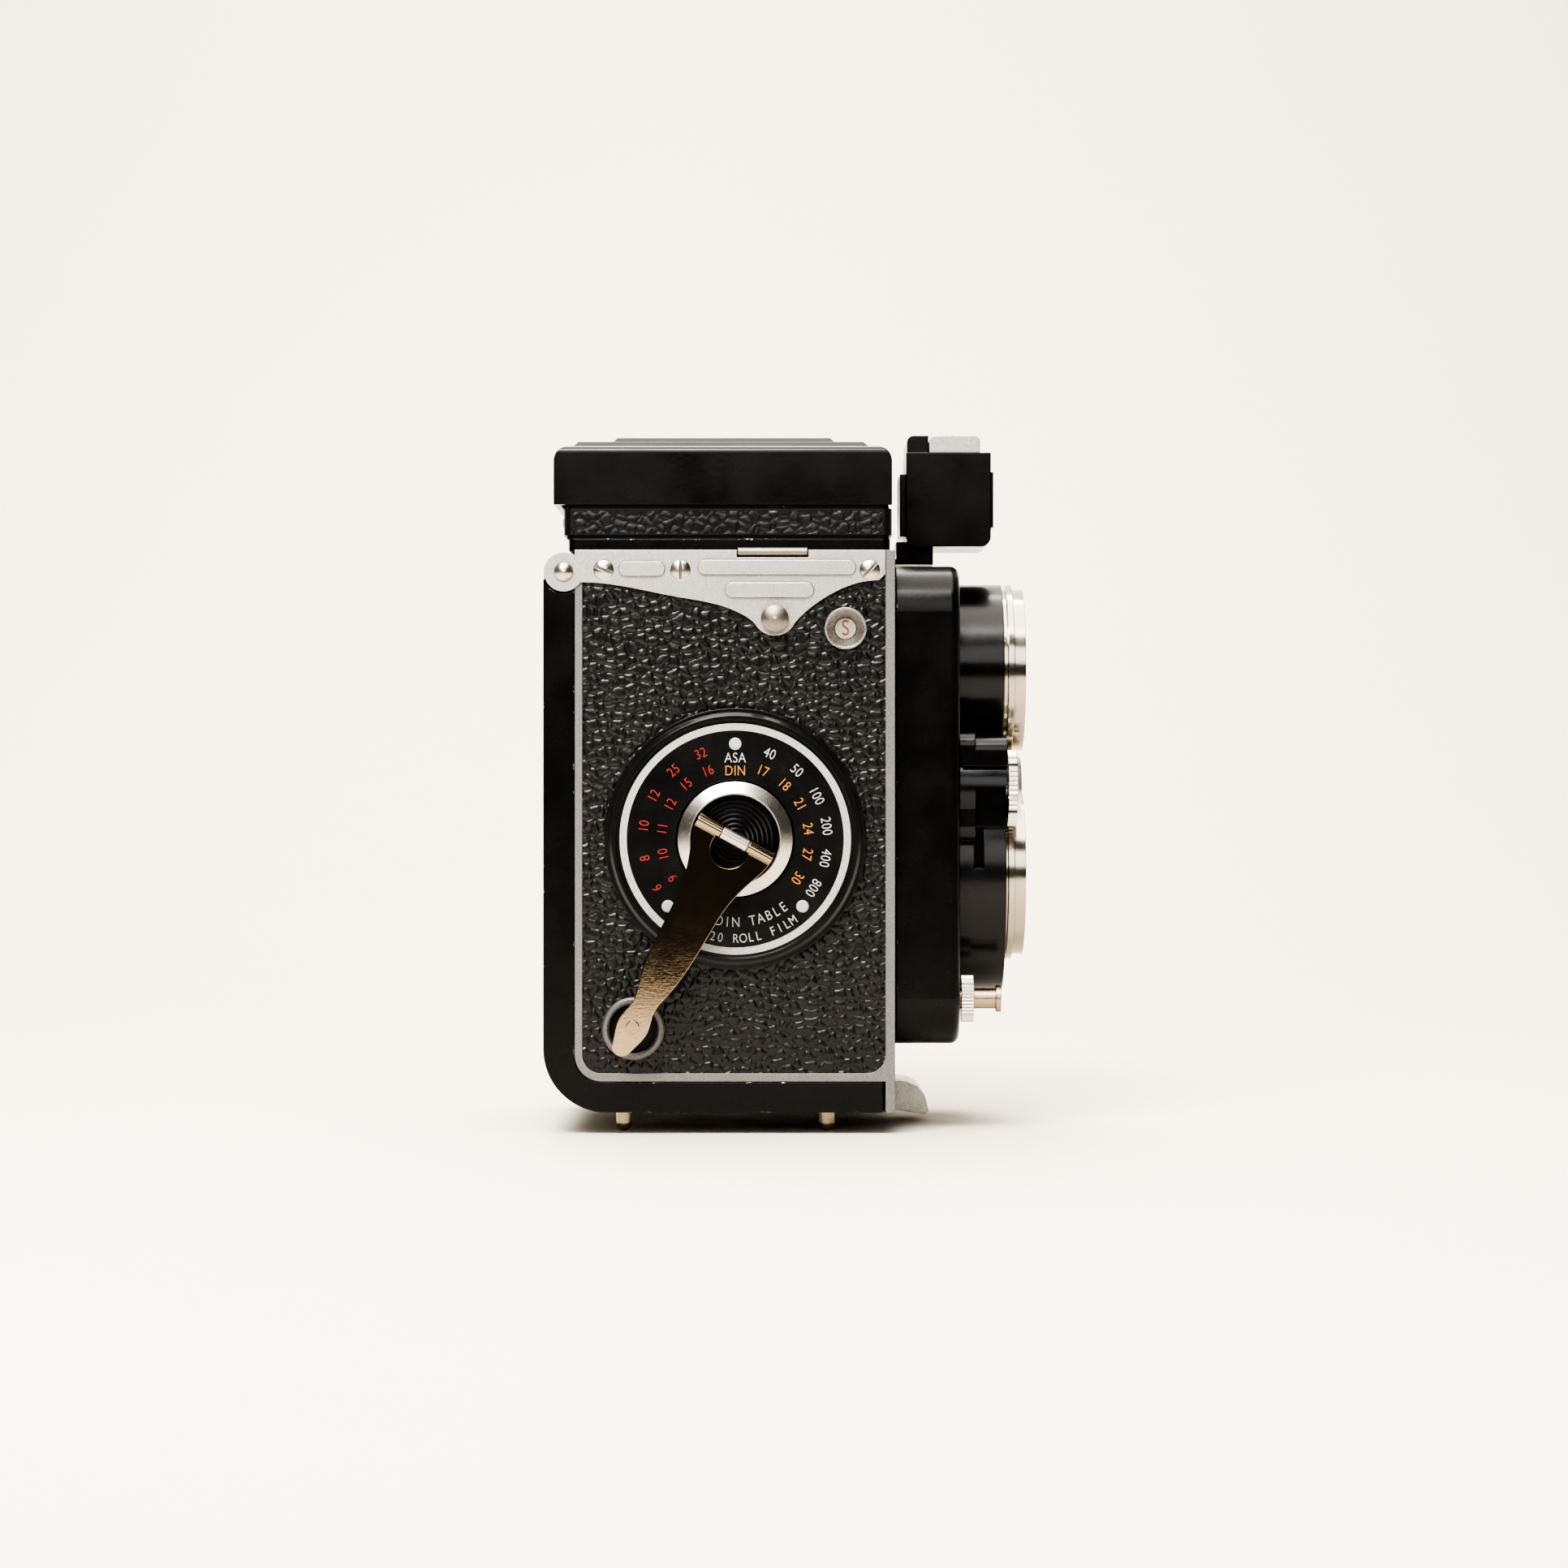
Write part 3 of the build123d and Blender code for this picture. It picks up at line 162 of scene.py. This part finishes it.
# ---------------------------------------------------------------- materials
def enamel(name, shade, rough, chips, coat=0.3, specular=0.34):
    """Black paint with soft wear, fine dust and metal showing at chipped edges."""
    m = Mat(name, coat=coat, specular=specular)
    blotch = m.noise(90, 5)
    dust = m.ramp(m.noise(5200, 2), 0.68, 0.80)
    worn = m.maths("MULTIPLY", m.edges(0.5 * MM), m.ramp(m.noise(420, 4, 0.7), chips, chips + 0.05))
    cool = (shade, shade, shade * 1.03)
    warm = (shade * 1.3, shade * 1.25, shade * 1.2)
    base = m.mix(m.ramp(blotch, 0.3, 0.7), cool, warm)
    base = m.mix(m.maths("MULTIPLY", dust, 0.08), base, (0.12, 0.11, 0.10))
    m.colour(m.mix(worn, base, (0.62, 0.55, 0.44)))
    m.metal(m.maths("MULTIPLY", worn, 0.8))
    m.roughness(m.ramp(blotch, 0.3, 0.7, rough - 0.05, rough + 0.08))
    m.bump([(m.noise(900, 3), 0.012 * MM), (m.noise(5000, 2), 0.004 * MM)], 0.35 * MM)
    return m.material


def leather():
    m = Mat("pebbled_leather", specular=0.4, coat=0.25)
    grain = m.noise(2600, 5, 0.6)
    patch = m.noise(60, 3)
    dark = m.mix(m.ramp(patch, 0.35, 0.65), (0.0024, 0.0023, 0.0022), (0.0042, 0.0040, 0.0038))
    crease = m.maths("MULTIPLY", m.cavity(0.5 * MM), 0.35)
    dust = m.maths("MULTIPLY", m.ramp(m.noise(3300, 2), 0.68, 0.76), 0.10)
    dark = m.mix(crease, dark, (0.006, 0.005, 0.004))
    m.colour(m.mix(dust, dark, (0.12, 0.10, 0.08)))
    m.roughness(m.ramp(grain, 0.3, 0.7, 0.30, 0.40))
    m.bump([(grain, 0.03 * MM)])
    return m.material


def satin(name, tint, rough=0.38, shade_and_dirt=0.8):
    m = Mat(name, metallic=0.92)
    stipple = m.noise(4200, 3, 0.6)
    stain = m.noise(160, 5, 0.65)
    specks = m.maths("MULTIPLY", m.ramp(m.noise(1700, 4, 0.7), 0.60, 0.70), 0.45 * shade_and_dirt)
    # Painted shade: ambient occlusion darkens the hollows towards dark brown, together with real specks of
    # dirt.
    darkening = m.maths("MAXIMUM", m.maths("MULTIPLY", m.cavity(1.4 * MM), shade_and_dirt), specks)
    base = m.mix(m.ramp(stain, 0.35, 0.7), tint, tuple(c * 0.86 for c in tint))
    base = m.mix(m.ramp(m.noise(3600, 2, 0.7), 0.42, 0.58), base, tuple(c * 0.72 for c in tint))
    m.colour(m.mix(darkening, base, (0.10, 0.07, 0.04)))
    m.roughness(m.ramp(stain, 0.3, 0.7, rough - 0.05, rough + 0.1))
    m.bump([(stipple, 0.05 * MM)], 0.25 * MM)
    return m.material


def chrome(name, tint=(0.62, 0.59, 0.55), rough=0.10, stains=0.6, spread=0.16):
    m = Mat(name, metallic=1.0)
    spots = m.maths("MULTIPLY", m.ramp(m.noise(700, 5, 0.7), 0.58, 0.7), stains)
    # Painted shade: ambient occlusion darkens the hollows towards dark brown.
    darkening = m.maths("MULTIPLY", m.cavity(0.6 * MM), 0.7)
    base = m.mix(spots, tint, (0.42, 0.34, 0.24))
    m.colour(m.mix(darkening, base, (0.08, 0.06, 0.04)))
    m.roughness(m.ramp(m.noise(260, 4), 0.3, 0.75, rough, rough + spread))
    m.bump([(m.noise(1500, 3), 0.004 * MM), (m.noise(500, 2, stretch=(1, 1, 14)), 0.003 * MM)], 0.2 * MM)
    return m.material


def glass(name, tint):
    m = Mat(name)
    m.shader.inputs["Transmission Weight"].default_value = 1.0
    m.shader.inputs["IOR"].default_value = 1.52
    m.colour(m.mix(m.ramp(m.noise(300, 3), 0.4, 0.6), tint, tuple(c * 0.96 for c in tint)))
    m.roughness(m.ramp(m.noise(900, 4), 0.4, 0.8, 0.01, 0.06))
    return m.material


def ink(name, colour):
    m = Mat(name)
    m.colour(m.mix(m.ramp(m.noise(1800, 4), 0.35, 0.75), colour, tuple(c * 0.72 for c in colour)))
    m.roughness(m.ramp(m.noise(1200, 3), 0.3, 0.7, 0.4, 0.6))
    m.bump([(m.noise(4000, 2), 0.01 * MM)])
    return m.material


ENAMEL = enamel("black_enamel", 0.0028, 0.20, 0.68, 0.12)
ENAMEL_WORN = enamel("black_enamel_worn", 0.0030, 0.25, 0.61, 0.06, 0.24)
MATT = enamel("inner_black", 0.006, 0.62, 0.80, 0.0)
LEATHER = leather()
SATIN = satin("satin_silver", (0.57, 0.56, 0.54), 0.36, 1.0)
BORDER = satin("border_silver", (0.27, 0.268, 0.262), 0.42, 0.6)
GREY_RING = satin("parking_grey", (0.22, 0.215, 0.21), 0.45, 0.9)
SCREW = chrome("screw_steel", (0.50, 0.46, 0.40), 0.24, 0.3, 0.10)
LUG = satin("lug_steel", (0.30, 0.27, 0.23), 0.34, 1.0)
BEZEL = satin("counter_steel", (0.42, 0.405, 0.38), 0.24, 1.0)
CHROME = chrome("chrome")
# Painted reflection: a dark warm brown tint on the crank's chrome stands in for warm reflections and the
# darker bowed tip.
ARM_CHROME = chrome("crank_chrome_painted_reflection", (0.34, 0.26, 0.18), 0.05, 0.15, 0.04)
# Painted reflection: a dark brown tint on the nickel stands in for warm reflections and darker shading.
NICKEL = chrome("nickel_painted_reflection", (0.36, 0.29, 0.21), 0.22, 0.5)
STEEL = chrome("brushed_steel", (0.44, 0.42, 0.39), 0.16, 0.3, 0.08)
# Painted reflection: a darker warm brown copy of the chrome on the lens rings stands in for warm
# reflections.
RING_CHROME = chrome("ring_chrome_painted_reflection", (0.38, 0.34, 0.29), 0.12, 0.2, 0.06)
HUB_SILVER = chrome("hub_silver", (0.56, 0.53, 0.49), 0.22, 0.2, 0.08)
BRASS = chrome("brass", (0.70, 0.52, 0.25), 0.24, 0.4)
DIAL = enamel("dial_enamel", 0.006, 0.22, 0.75, 0.5)
PLASTIC = enamel("spool_plastic", 0.02, 0.5, 0.9, 0.0)
GLASS = glass("coated_glass", (0.86, 0.86, 0.96))
SCREEN = glass("screen_glass", (0.92, 0.94, 0.95))
WHITE = ink("white_ink", (0.44, 0.435, 0.42))
RED = ink("red_ink", (0.36, 0.020, 0.016))
ORANGE = ink("orange_ink", (0.52, 0.21, 0.025))
PALE_RED = ink("pale_red_ink", (0.24, 0.06, 0.035))
CREAM = ink("cream_dial", (0.34, 0.32, 0.28))

looks = {
    "body_casting": MATT, "dark_chamber": MATT, "pressure_plate": MATT, "lens_cells": MATT,
    "shutter_blades": STEEL, "hood_base": ENAMEL_WORN, "hood_side_left": MATT, "hood_side_right": MATT,
    "hood_back_panel": MATT, "magnifier_frame": MATT, "side_leathers": LEATHER, "back_leather": LEATHER,
    "hood_leather": LEATHER, "side_borders": BORDER, "side_plates": SATIN, "front_toe": BEZEL,
    "meter_cover": SATIN, "back_lock_ring": SATIN, "plate_screws": SCREW, "strap_lugs": LUG,
    "lens_rings": RING_CHROME, "crank_hub": HUB_SILVER, "crank_arm": ARM_CHROME, "crank_knob": ARM_CHROME,
    "counter_bezel": BEZEL, "release_button": NICKEL, "release_collar": CHROME, "feet": NICKEL,
    "spool_knob_upper": CHROME, "spool_knob_lower": CHROME, "back_hinge_pin": SCREW,
    "aperture_wheel": CHROME, "speed_wheel": CHROME, "tripod_socket": STEEL, "latch_tongue": STEEL,
    "hood_rods": STEEL, "release_spring": STEEL, "parking_ring": GREY_RING, "sync_socket": STEEL,
    "lower_roller": STEEL, "upper_roller": STEEL, "back_cover": ENAMEL_WORN, "front_standard": ENAMEL_WORN,
    "lens_housing": ENAMEL, "hood_lid": ENAMEL, "meter_box": ENAMEL, "focus_knob": ENAMEL,
    "hood_catch": NICKEL, "dial_disc": DIAL, "counter_dial": CREAM, "idler_gear": BRASS,
    "takeup_gear": BRASS, "takeup_spool": PLASTIC, "supply_spool": PLASTIC, "lens_glasses": GLASS,
    "magnifier_glass": GLASS, "counter_window": GLASS, "focusing_screen": SCREEN, "mirror": CHROME,
    "meter_cell": PLASTIC,
}
for name, material in looks.items():
    for slot in nodes[name].material_slots:
        slot.material = material

# ---------------------------------------------------------------- mesh helpers
DIAL_Y, DIAL_Z = -3.4, 57.4
DIAL_FACE_X = -39.0
DIAL_CENTRE = (DIAL_FACE_X, DIAL_Y, DIAL_Z)
PARK_Y, PARK_Z = 18.0, 17.6
COVER_Y = 36.35       # the creases of the back leather
COUNTER_Y, COUNTER_Z = -26.5, 101.5


def add(name, mesh, material, body, smooth=True):
    ob = bpy.data.objects.new(name, mesh)
    bpy.context.scene.collection.objects.link(ob)
    mesh.materials.append(material)
    for face in mesh.polygons:
        face.use_smooth = smooth
    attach(ob, body)
    return ob


def lathe_x(name, profile, y, z, material, body, steps=96):
    """Turns a profile of (x, radius), in millimetres, about an axis along X."""
    bm = bmesh.new()
    rings = []
    for x, r in profile:
        ring = []
        for i in range(steps):
            a = 2 * pi * i / steps
            ring.append(bm.verts.new((x * MM, (y + r * cos(a)) * MM, (z + r * sin(a)) * MM)))
        rings.append(ring)
    for a, b in zip(rings, rings[1:] + rings[:1]):
        for i in range(steps):
            j = (i + 1) % steps
            bm.faces.new((a[i], a[j], b[j], b[i]))
    bmesh.ops.recalc_face_normals(bm, faces=bm.faces)
    mesh = bpy.data.meshes.new(name)
    bm.to_mesh(mesh)
    bm.free()
    return add(name, mesh, material, body, smooth=False)


def flat_ring(name, r0, r1, x, y, z, thick, material, body):
    return lathe_x(name, [(x, r0), (x - thick, r0), (x - thick, r1), (x, r1)], y, z, material, body)


def side_text(name, words, centre, angle, radius, height, material, body, side=-1, tops_in=False):
    """Raised figures on a side of the camera, side -1 for -X or 1 for +X.

    centre is the (x, y, z) they turn about, in millimetres, and the angle runs clockwise from the
    top as that side is seen.
    """
    curve = bpy.data.curves.new(name, "FONT")
    curve.body = words
    curve.align_x = "CENTER"
    curve.align_y = "CENTER"
    curve.size = height * 1.42 * MM
    curve.extrude = 0.04 * MM
    curve.space_character = 1.06
    ob = bpy.data.objects.new(name, curve)
    bpy.context.scene.collection.objects.link(ob)
    facing = Matrix(((0, 0, side), (side, 0, 0), (0, 1, 0))).to_4x4()
    turn = radians(-angle + (180 if tops_in else 0))
    x, y, z = centre
    place = Matrix.Translation((x * MM, (y + side * radius * sin(radians(angle))) * MM,
                                (z + radius * cos(radians(angle))) * MM))
    ob.matrix_world = place @ facing @ Matrix.Rotation(turn, 4, "Z") @ Matrix.Diagonal((0.82, 1, 1, 1))
    bpy.context.view_layer.update()
    mesh = bpy.data.meshes.new_from_object(ob)
    mesh.transform(ob.matrix_world)
    bpy.data.objects.remove(ob)
    return add(name, mesh, material, body, smooth=False)


# ---------------------------------------------------------------- leather grain
# Without a seed of its own the noise vector changes with the clock, and the pebbles with it.
noise.seed_set(7)


def pebble(y, z, seed):
    """Height from 0 to 1 of rounded pebbles about 2 mm across, for a point in millimetres."""
    p = Vector((y, z, seed))
    drift = noise.noise_vector(p * 0.5) * 0.55
    distances = noise.voronoi((p + drift) * 0.50)[0]
    edge = min(1.0, (distances[1] - distances[0]) * 1.9)
    dome = (1 - (1 - edge) ** 2) ** 0.5
    size = 0.5 + 0.5 * noise.noise(p * 0.3)
    return min(1.0, max(0.0, dome * (0.62 + 0.38 * size) + 0.05 * noise.noise(p * 3.1)))


def inside_panel(y, z):
    if (y - PARK_Y) ** 2 + (z - PARK_Z) ** 2 < 5.3 ** 2:
        return False
    corner_y, corner_z, r = 24.6, 12.4, 4.8
    if y > corner_y and z < corner_z:
        return (y - corner_y) ** 2 + (z - corner_z) ** 2 < r ** 2
    return True


def leather_panel(name, us, vs, to_place, keep, body, seed, flip):
    """A pebbled sheet. to_place turns (u, v, height) in millimetres into a point of the camera."""
    across, up = int((us[1] - us[0]) / GRAIN_STEP), int((vs[1] - vs[0]) / GRAIN_STEP)
    bm = bmesh.new()
    grid = []
    for i in range(across + 1):
        row = []
        for j in range(up + 1):
            u, v = us[0] + i * GRAIN_STEP, vs[0] + j * GRAIN_STEP
            row.append(bm.verts.new(Vector(to_place(u, v, PEBBLE_HEIGHT * pebble(u, v, seed))) * MM))
        grid.append(row)
    for i in range(across):
        for j in range(up):
            if keep(us[0] + (i + 0.5) * GRAIN_STEP, vs[0] + (j + 0.5) * GRAIN_STEP):
                corners = (grid[i][j], grid[i + 1][j], grid[i + 1][j + 1], grid[i][j + 1])
                bm.faces.new(corners[::-1] if flip else corners)
    loose = [v for v in bm.verts if not v.link_faces]
    bmesh.ops.delete(bm, geom=loose, context="VERTS")
    mesh = bpy.data.meshes.new(name)
    bm.to_mesh(mesh)
    bm.free()
    piece = add(name, mesh, LEATHER, body)
    return piece


def clear_of(holes):
    return lambda y, z: all((y - hy) ** 2 + (z - hz) ** 2 > hr ** 2 for hy, hz, hr in holes)


GRAIN_STEP = 0.24
PEBBLE_HEIGHT = 0.52
SIDE_GRAIN_X = 36.02
HOOD_GRAIN_X = 34.95
SIDE_YS, SIDE_ZS = (-35.6, 29.4), (7.6, 113.0)
LEFT_HOLES = ((DIAL_Y, DIAL_Z, 26.6), (COUNTER_Y, COUNTER_Z, 4.1))
RIGHT_HOLES = ((-8.0, 54.0, 16.0), (11.5, 88.3, 5.0), (-21.0, 19.2, 5.0))
left_clear = clear_of(LEFT_HOLES)
leather_panel("leather_grain_left", SIDE_YS, SIDE_ZS, lambda y, z, h: (-SIDE_GRAIN_X - h, y, z),
              lambda y, z: left_clear(y, z) and inside_panel(y, z), "body", -3.0, True)
leather_panel("leather_grain_right", SIDE_YS, SIDE_ZS, lambda y, z, h: (SIDE_GRAIN_X + h, y, z),
              clear_of(RIGHT_HOLES), "body", 3.0, False)
HOOD_YS, HOOD_ZS = (-34.2, 30.6), (121.5, 126.4)
for side, hand in ((-1, "left"), (1, "right")):
    leather_panel(f"hood_grain_{hand}", HOOD_YS, HOOD_ZS,
                  lambda y, z, h: (side * (HOOD_GRAIN_X + 0.5 * h), y, z),
                  lambda y, z: True, "body", 9.0 * side, side < 0)
BACK_XS, BACK_ZS = (-32.5, 32.5), (17.0, 107.0)
back_grain = leather_panel("back_grain", BACK_XS, BACK_ZS, lambda x, z, h: (x, COVER_Y + h, z),
                           lambda x, z: True, "back", 21.0, True)
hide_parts("back_leather")

# ---------------------------------------------------------------- dial
flat_ring("dial_white_ring", 22.7, 24.2, DIAL_FACE_X, DIAL_Y, DIAL_Z, 0.08, WHITE, "body")
DOT_R = 1.3
for i, angle in enumerate((0, 135, -135)):
    a = radians(angle)
    y, z = DIAL_Y - 19.9 * sin(a), DIAL_Z + 19.9 * cos(a)
    dot = [(DIAL_FACE_X, 0.01), (DIAL_FACE_X - 0.35, 0.01), (DIAL_FACE_X - 0.35, DOT_R - 0.3),
           (DIAL_FACE_X - 0.15, DOT_R), (DIAL_FACE_X, DOT_R)]
    lathe_x(f"dial_dot_{i}", dot, y, z, WHITE, "body", 32)
FIGURE_ANGLES = (22, 42, 62, 82, 102, 122)
FIGURE_ROWS = (
    ("asa_white", ("40", "50", "100", "200", "400", "800"), 19.2, 1, WHITE),
    ("din_orange", ("17", "18", "21", "24", "27", "30"), 15.3, 1, ORANGE),
    ("feet_red", ("32", "25", "12", "10", "8", "6"), 19.2, -1, RED),
    ("metre_red", ("16", "15", "12", "11", "10", "9"), 15.3, -1, RED),
)
for row, figures, radius, side, material in FIGURE_ROWS:
    for words, angle in zip(figures, FIGURE_ANGLES):
        side_text(f"{row}_{words}", words, DIAL_CENTRE, side * angle, radius, 2.1, material, "body")
side_text("dial_asa", "ASA", DIAL_CENTRE, 0, 16.9, 2.1, WHITE, "body")
side_text("dial_din", "DIN", DIAL_CENTRE, 0, 14.2, 2.1, ORANGE, "body")


def arc_words(name, words, middle, step, radius, height):
    """Letters set one by one round the lower part of the dial, with their tops inward."""
    start = middle + step * (len(words) - 1) / 2
    for i, letter in enumerate(words):
        if letter != " ":
            side_text(f"{name}_{i}", letter, DIAL_CENTRE, start - i * step, radius, height, WHITE, "body",
                      tops_in=True)


arc_words("table_words", "DIN TABLE", 168, 5.8, 17.5, 2.1)
arc_words("film_words", "120 ROLL FILM", 171, 4.4, 20.9, 1.9)

# Dark ringed bowl inside the crank's hub
BOWL_X = -38.5
bowl = [(BOWL_X, 0.01)]
for i in range(8):
    r = 1.0 + i
    bowl += [(BOWL_X - 0.35, r - 0.25), (BOWL_X - 0.35, r + 0.2), (BOWL_X - 0.1, r + 0.45)]
bowl += [(BOWL_X - 0.1, 9.2), (BOWL_X, 9.2)]
lathe_x("hub_bowl_rings", bowl, DIAL_Y, DIAL_Z, ENAMEL, "crank")

# ---------------------------------------------------------------- counter face and mark
lathe_x("counter_face", [(-36.3, 0.01), (-36.34, 0.01), (-36.34, 2.2), (-36.3, 2.2)],
        COUNTER_Y, COUNTER_Z, CREAM, "body", 48)
side_text("counter_mark", "S", (-36.36, COUNTER_Y, COUNTER_Z), 0, 0, 3.3, PALE_RED, "body")

# ---------------------------------------------------------------- distance figures on the focusing knob
KNOB_CENTRE = (42.8, -8.0, 54.0)
KNOB_FIGURES = ("3", "4", "5", "6", "8", "10", "15", "30")
for i, words in enumerate(KNOB_FIGURES):
    angle = 300 * i / (len(KNOB_FIGURES) - 1) - 150
    side_text(f"knob_{words}", words, KNOB_CENTRE, angle, 11.2, 2.1, WHITE, "focus_knob", side=1)
    side_text(f"knob_tick_{i}", "I", KNOB_CENTRE, angle, 13.4, 0.9, WHITE, "focus_knob", side=1)

# ---------------------------------------------------------------- light, floor and camera
def area_light(name, place, aim, size, power, tint):
    data = bpy.data.lights.new(name, "AREA")
    data.shape = "RECTANGLE"
    data.size, data.size_y = size
    data.energy = power
    data.color = tint
    ob = bpy.data.objects.new(name, data)
    bpy.context.scene.collection.objects.link(ob)
    ob.location = place
    ob.rotation_euler = (Vector(aim) - Vector(place)).to_track_quat("-Z", "Y").to_euler()


MIDDLE = (0, -0.0136, 0.0689)
area_light("key", (-0.62, 0.20, 0.80), MIDDLE, (0.50, 0.36), 12.0, (1.0, 0.98, 0.95))
area_light("front", (-1.15, 0.10, 0.52), MIDDLE, (0.80, 0.50), 4.0, (1.0, 0.98, 0.95))
area_light("overhead", (0.48, 0.10, 0.90), MIDDLE, (0.40, 0.50), 5.0, (1.0, 0.97, 0.92))
area_light("backdrop", (0.15, 0.0, 1.10), (0.75, 0.0, 0.15), (0.70, 1.60), 16.0, (1.0, 0.95, 0.86))

# The room is dim towards -X and bright towards +X, so that black gloss on the crank side stays black.
world = bpy.data.worlds.new("studio")
world.use_nodes = True
room = world.node_tree
direction = room.nodes.new("ShaderNodeTexCoord")
split = room.nodes.new("ShaderNodeSeparateXYZ")
room.links.new(direction.outputs["Generated"], split.inputs["Vector"])
fade = room.nodes.new("ShaderNodeMapRange")
fade.inputs["From Min"].default_value = -0.3
fade.inputs["From Max"].default_value = 0.6
fade.inputs["To Min"].default_value = 0.08
fade.inputs["To Max"].default_value = 0.8
room.links.new(split.outputs["X"], fade.inputs["Value"])
room.links.new(fade.outputs["Result"], room.nodes["Background"].inputs["Strength"])
room.nodes["Background"].inputs["Color"].default_value = (0.93, 0.885, 0.80, 1.0)
bpy.context.scene.world = world

FLOOR_Z = -4.6 * MM
FLOOR_XS = (-0.55, 0.35)
SWEEP_R = 0.40
WALL_TOP = 1.2
paper_line = [(FLOOR_XS[0], FLOOR_Z), (FLOOR_XS[1], FLOOR_Z)]
for i in range(1, 25):
    a = radians(90 * i / 24)
    paper_line.append((FLOOR_XS[1] + SWEEP_R * sin(a), FLOOR_Z + SWEEP_R * (1 - cos(a))))
paper_line.append((FLOOR_XS[1] + SWEEP_R, WALL_TOP))
corners = [(x, y, z) for x, z in paper_line for y in (-1.5, 1.5)]
strips = [(2 * i, 2 * i + 1, 2 * i + 3, 2 * i + 2) for i in range(len(paper_line) - 1)]
floor_mesh = bpy.data.meshes.new("floor")
floor_mesh.from_pydata(corners, [], strips)
for face in floor_mesh.polygons:
    face.use_smooth = True
floor = bpy.data.objects.new("floor", floor_mesh)
bpy.context.scene.collection.objects.link(floor)
paper = Mat("paper_floor")
paper.colour(paper.mix(paper.noise(8, 3), (0.84, 0.79, 0.70), (0.81, 0.765, 0.68)))
paper.roughness(0.75)
floor_mesh.materials.append(paper.material)

camera_data = bpy.data.cameras.new("camera")
camera_data.lens = 88.5
camera_data.sensor_width = 36
camera = bpy.data.objects.new("camera", camera_data)
bpy.context.scene.collection.objects.link(camera)
camera.location = (-0.845, MIDDLE[1], MIDDLE[2])
camera.rotation_euler = (radians(90), 0, radians(-90))
bpy.context.scene.camera = camera

bpy.context.scene.view_settings.look = "AgX - Very High Contrast"
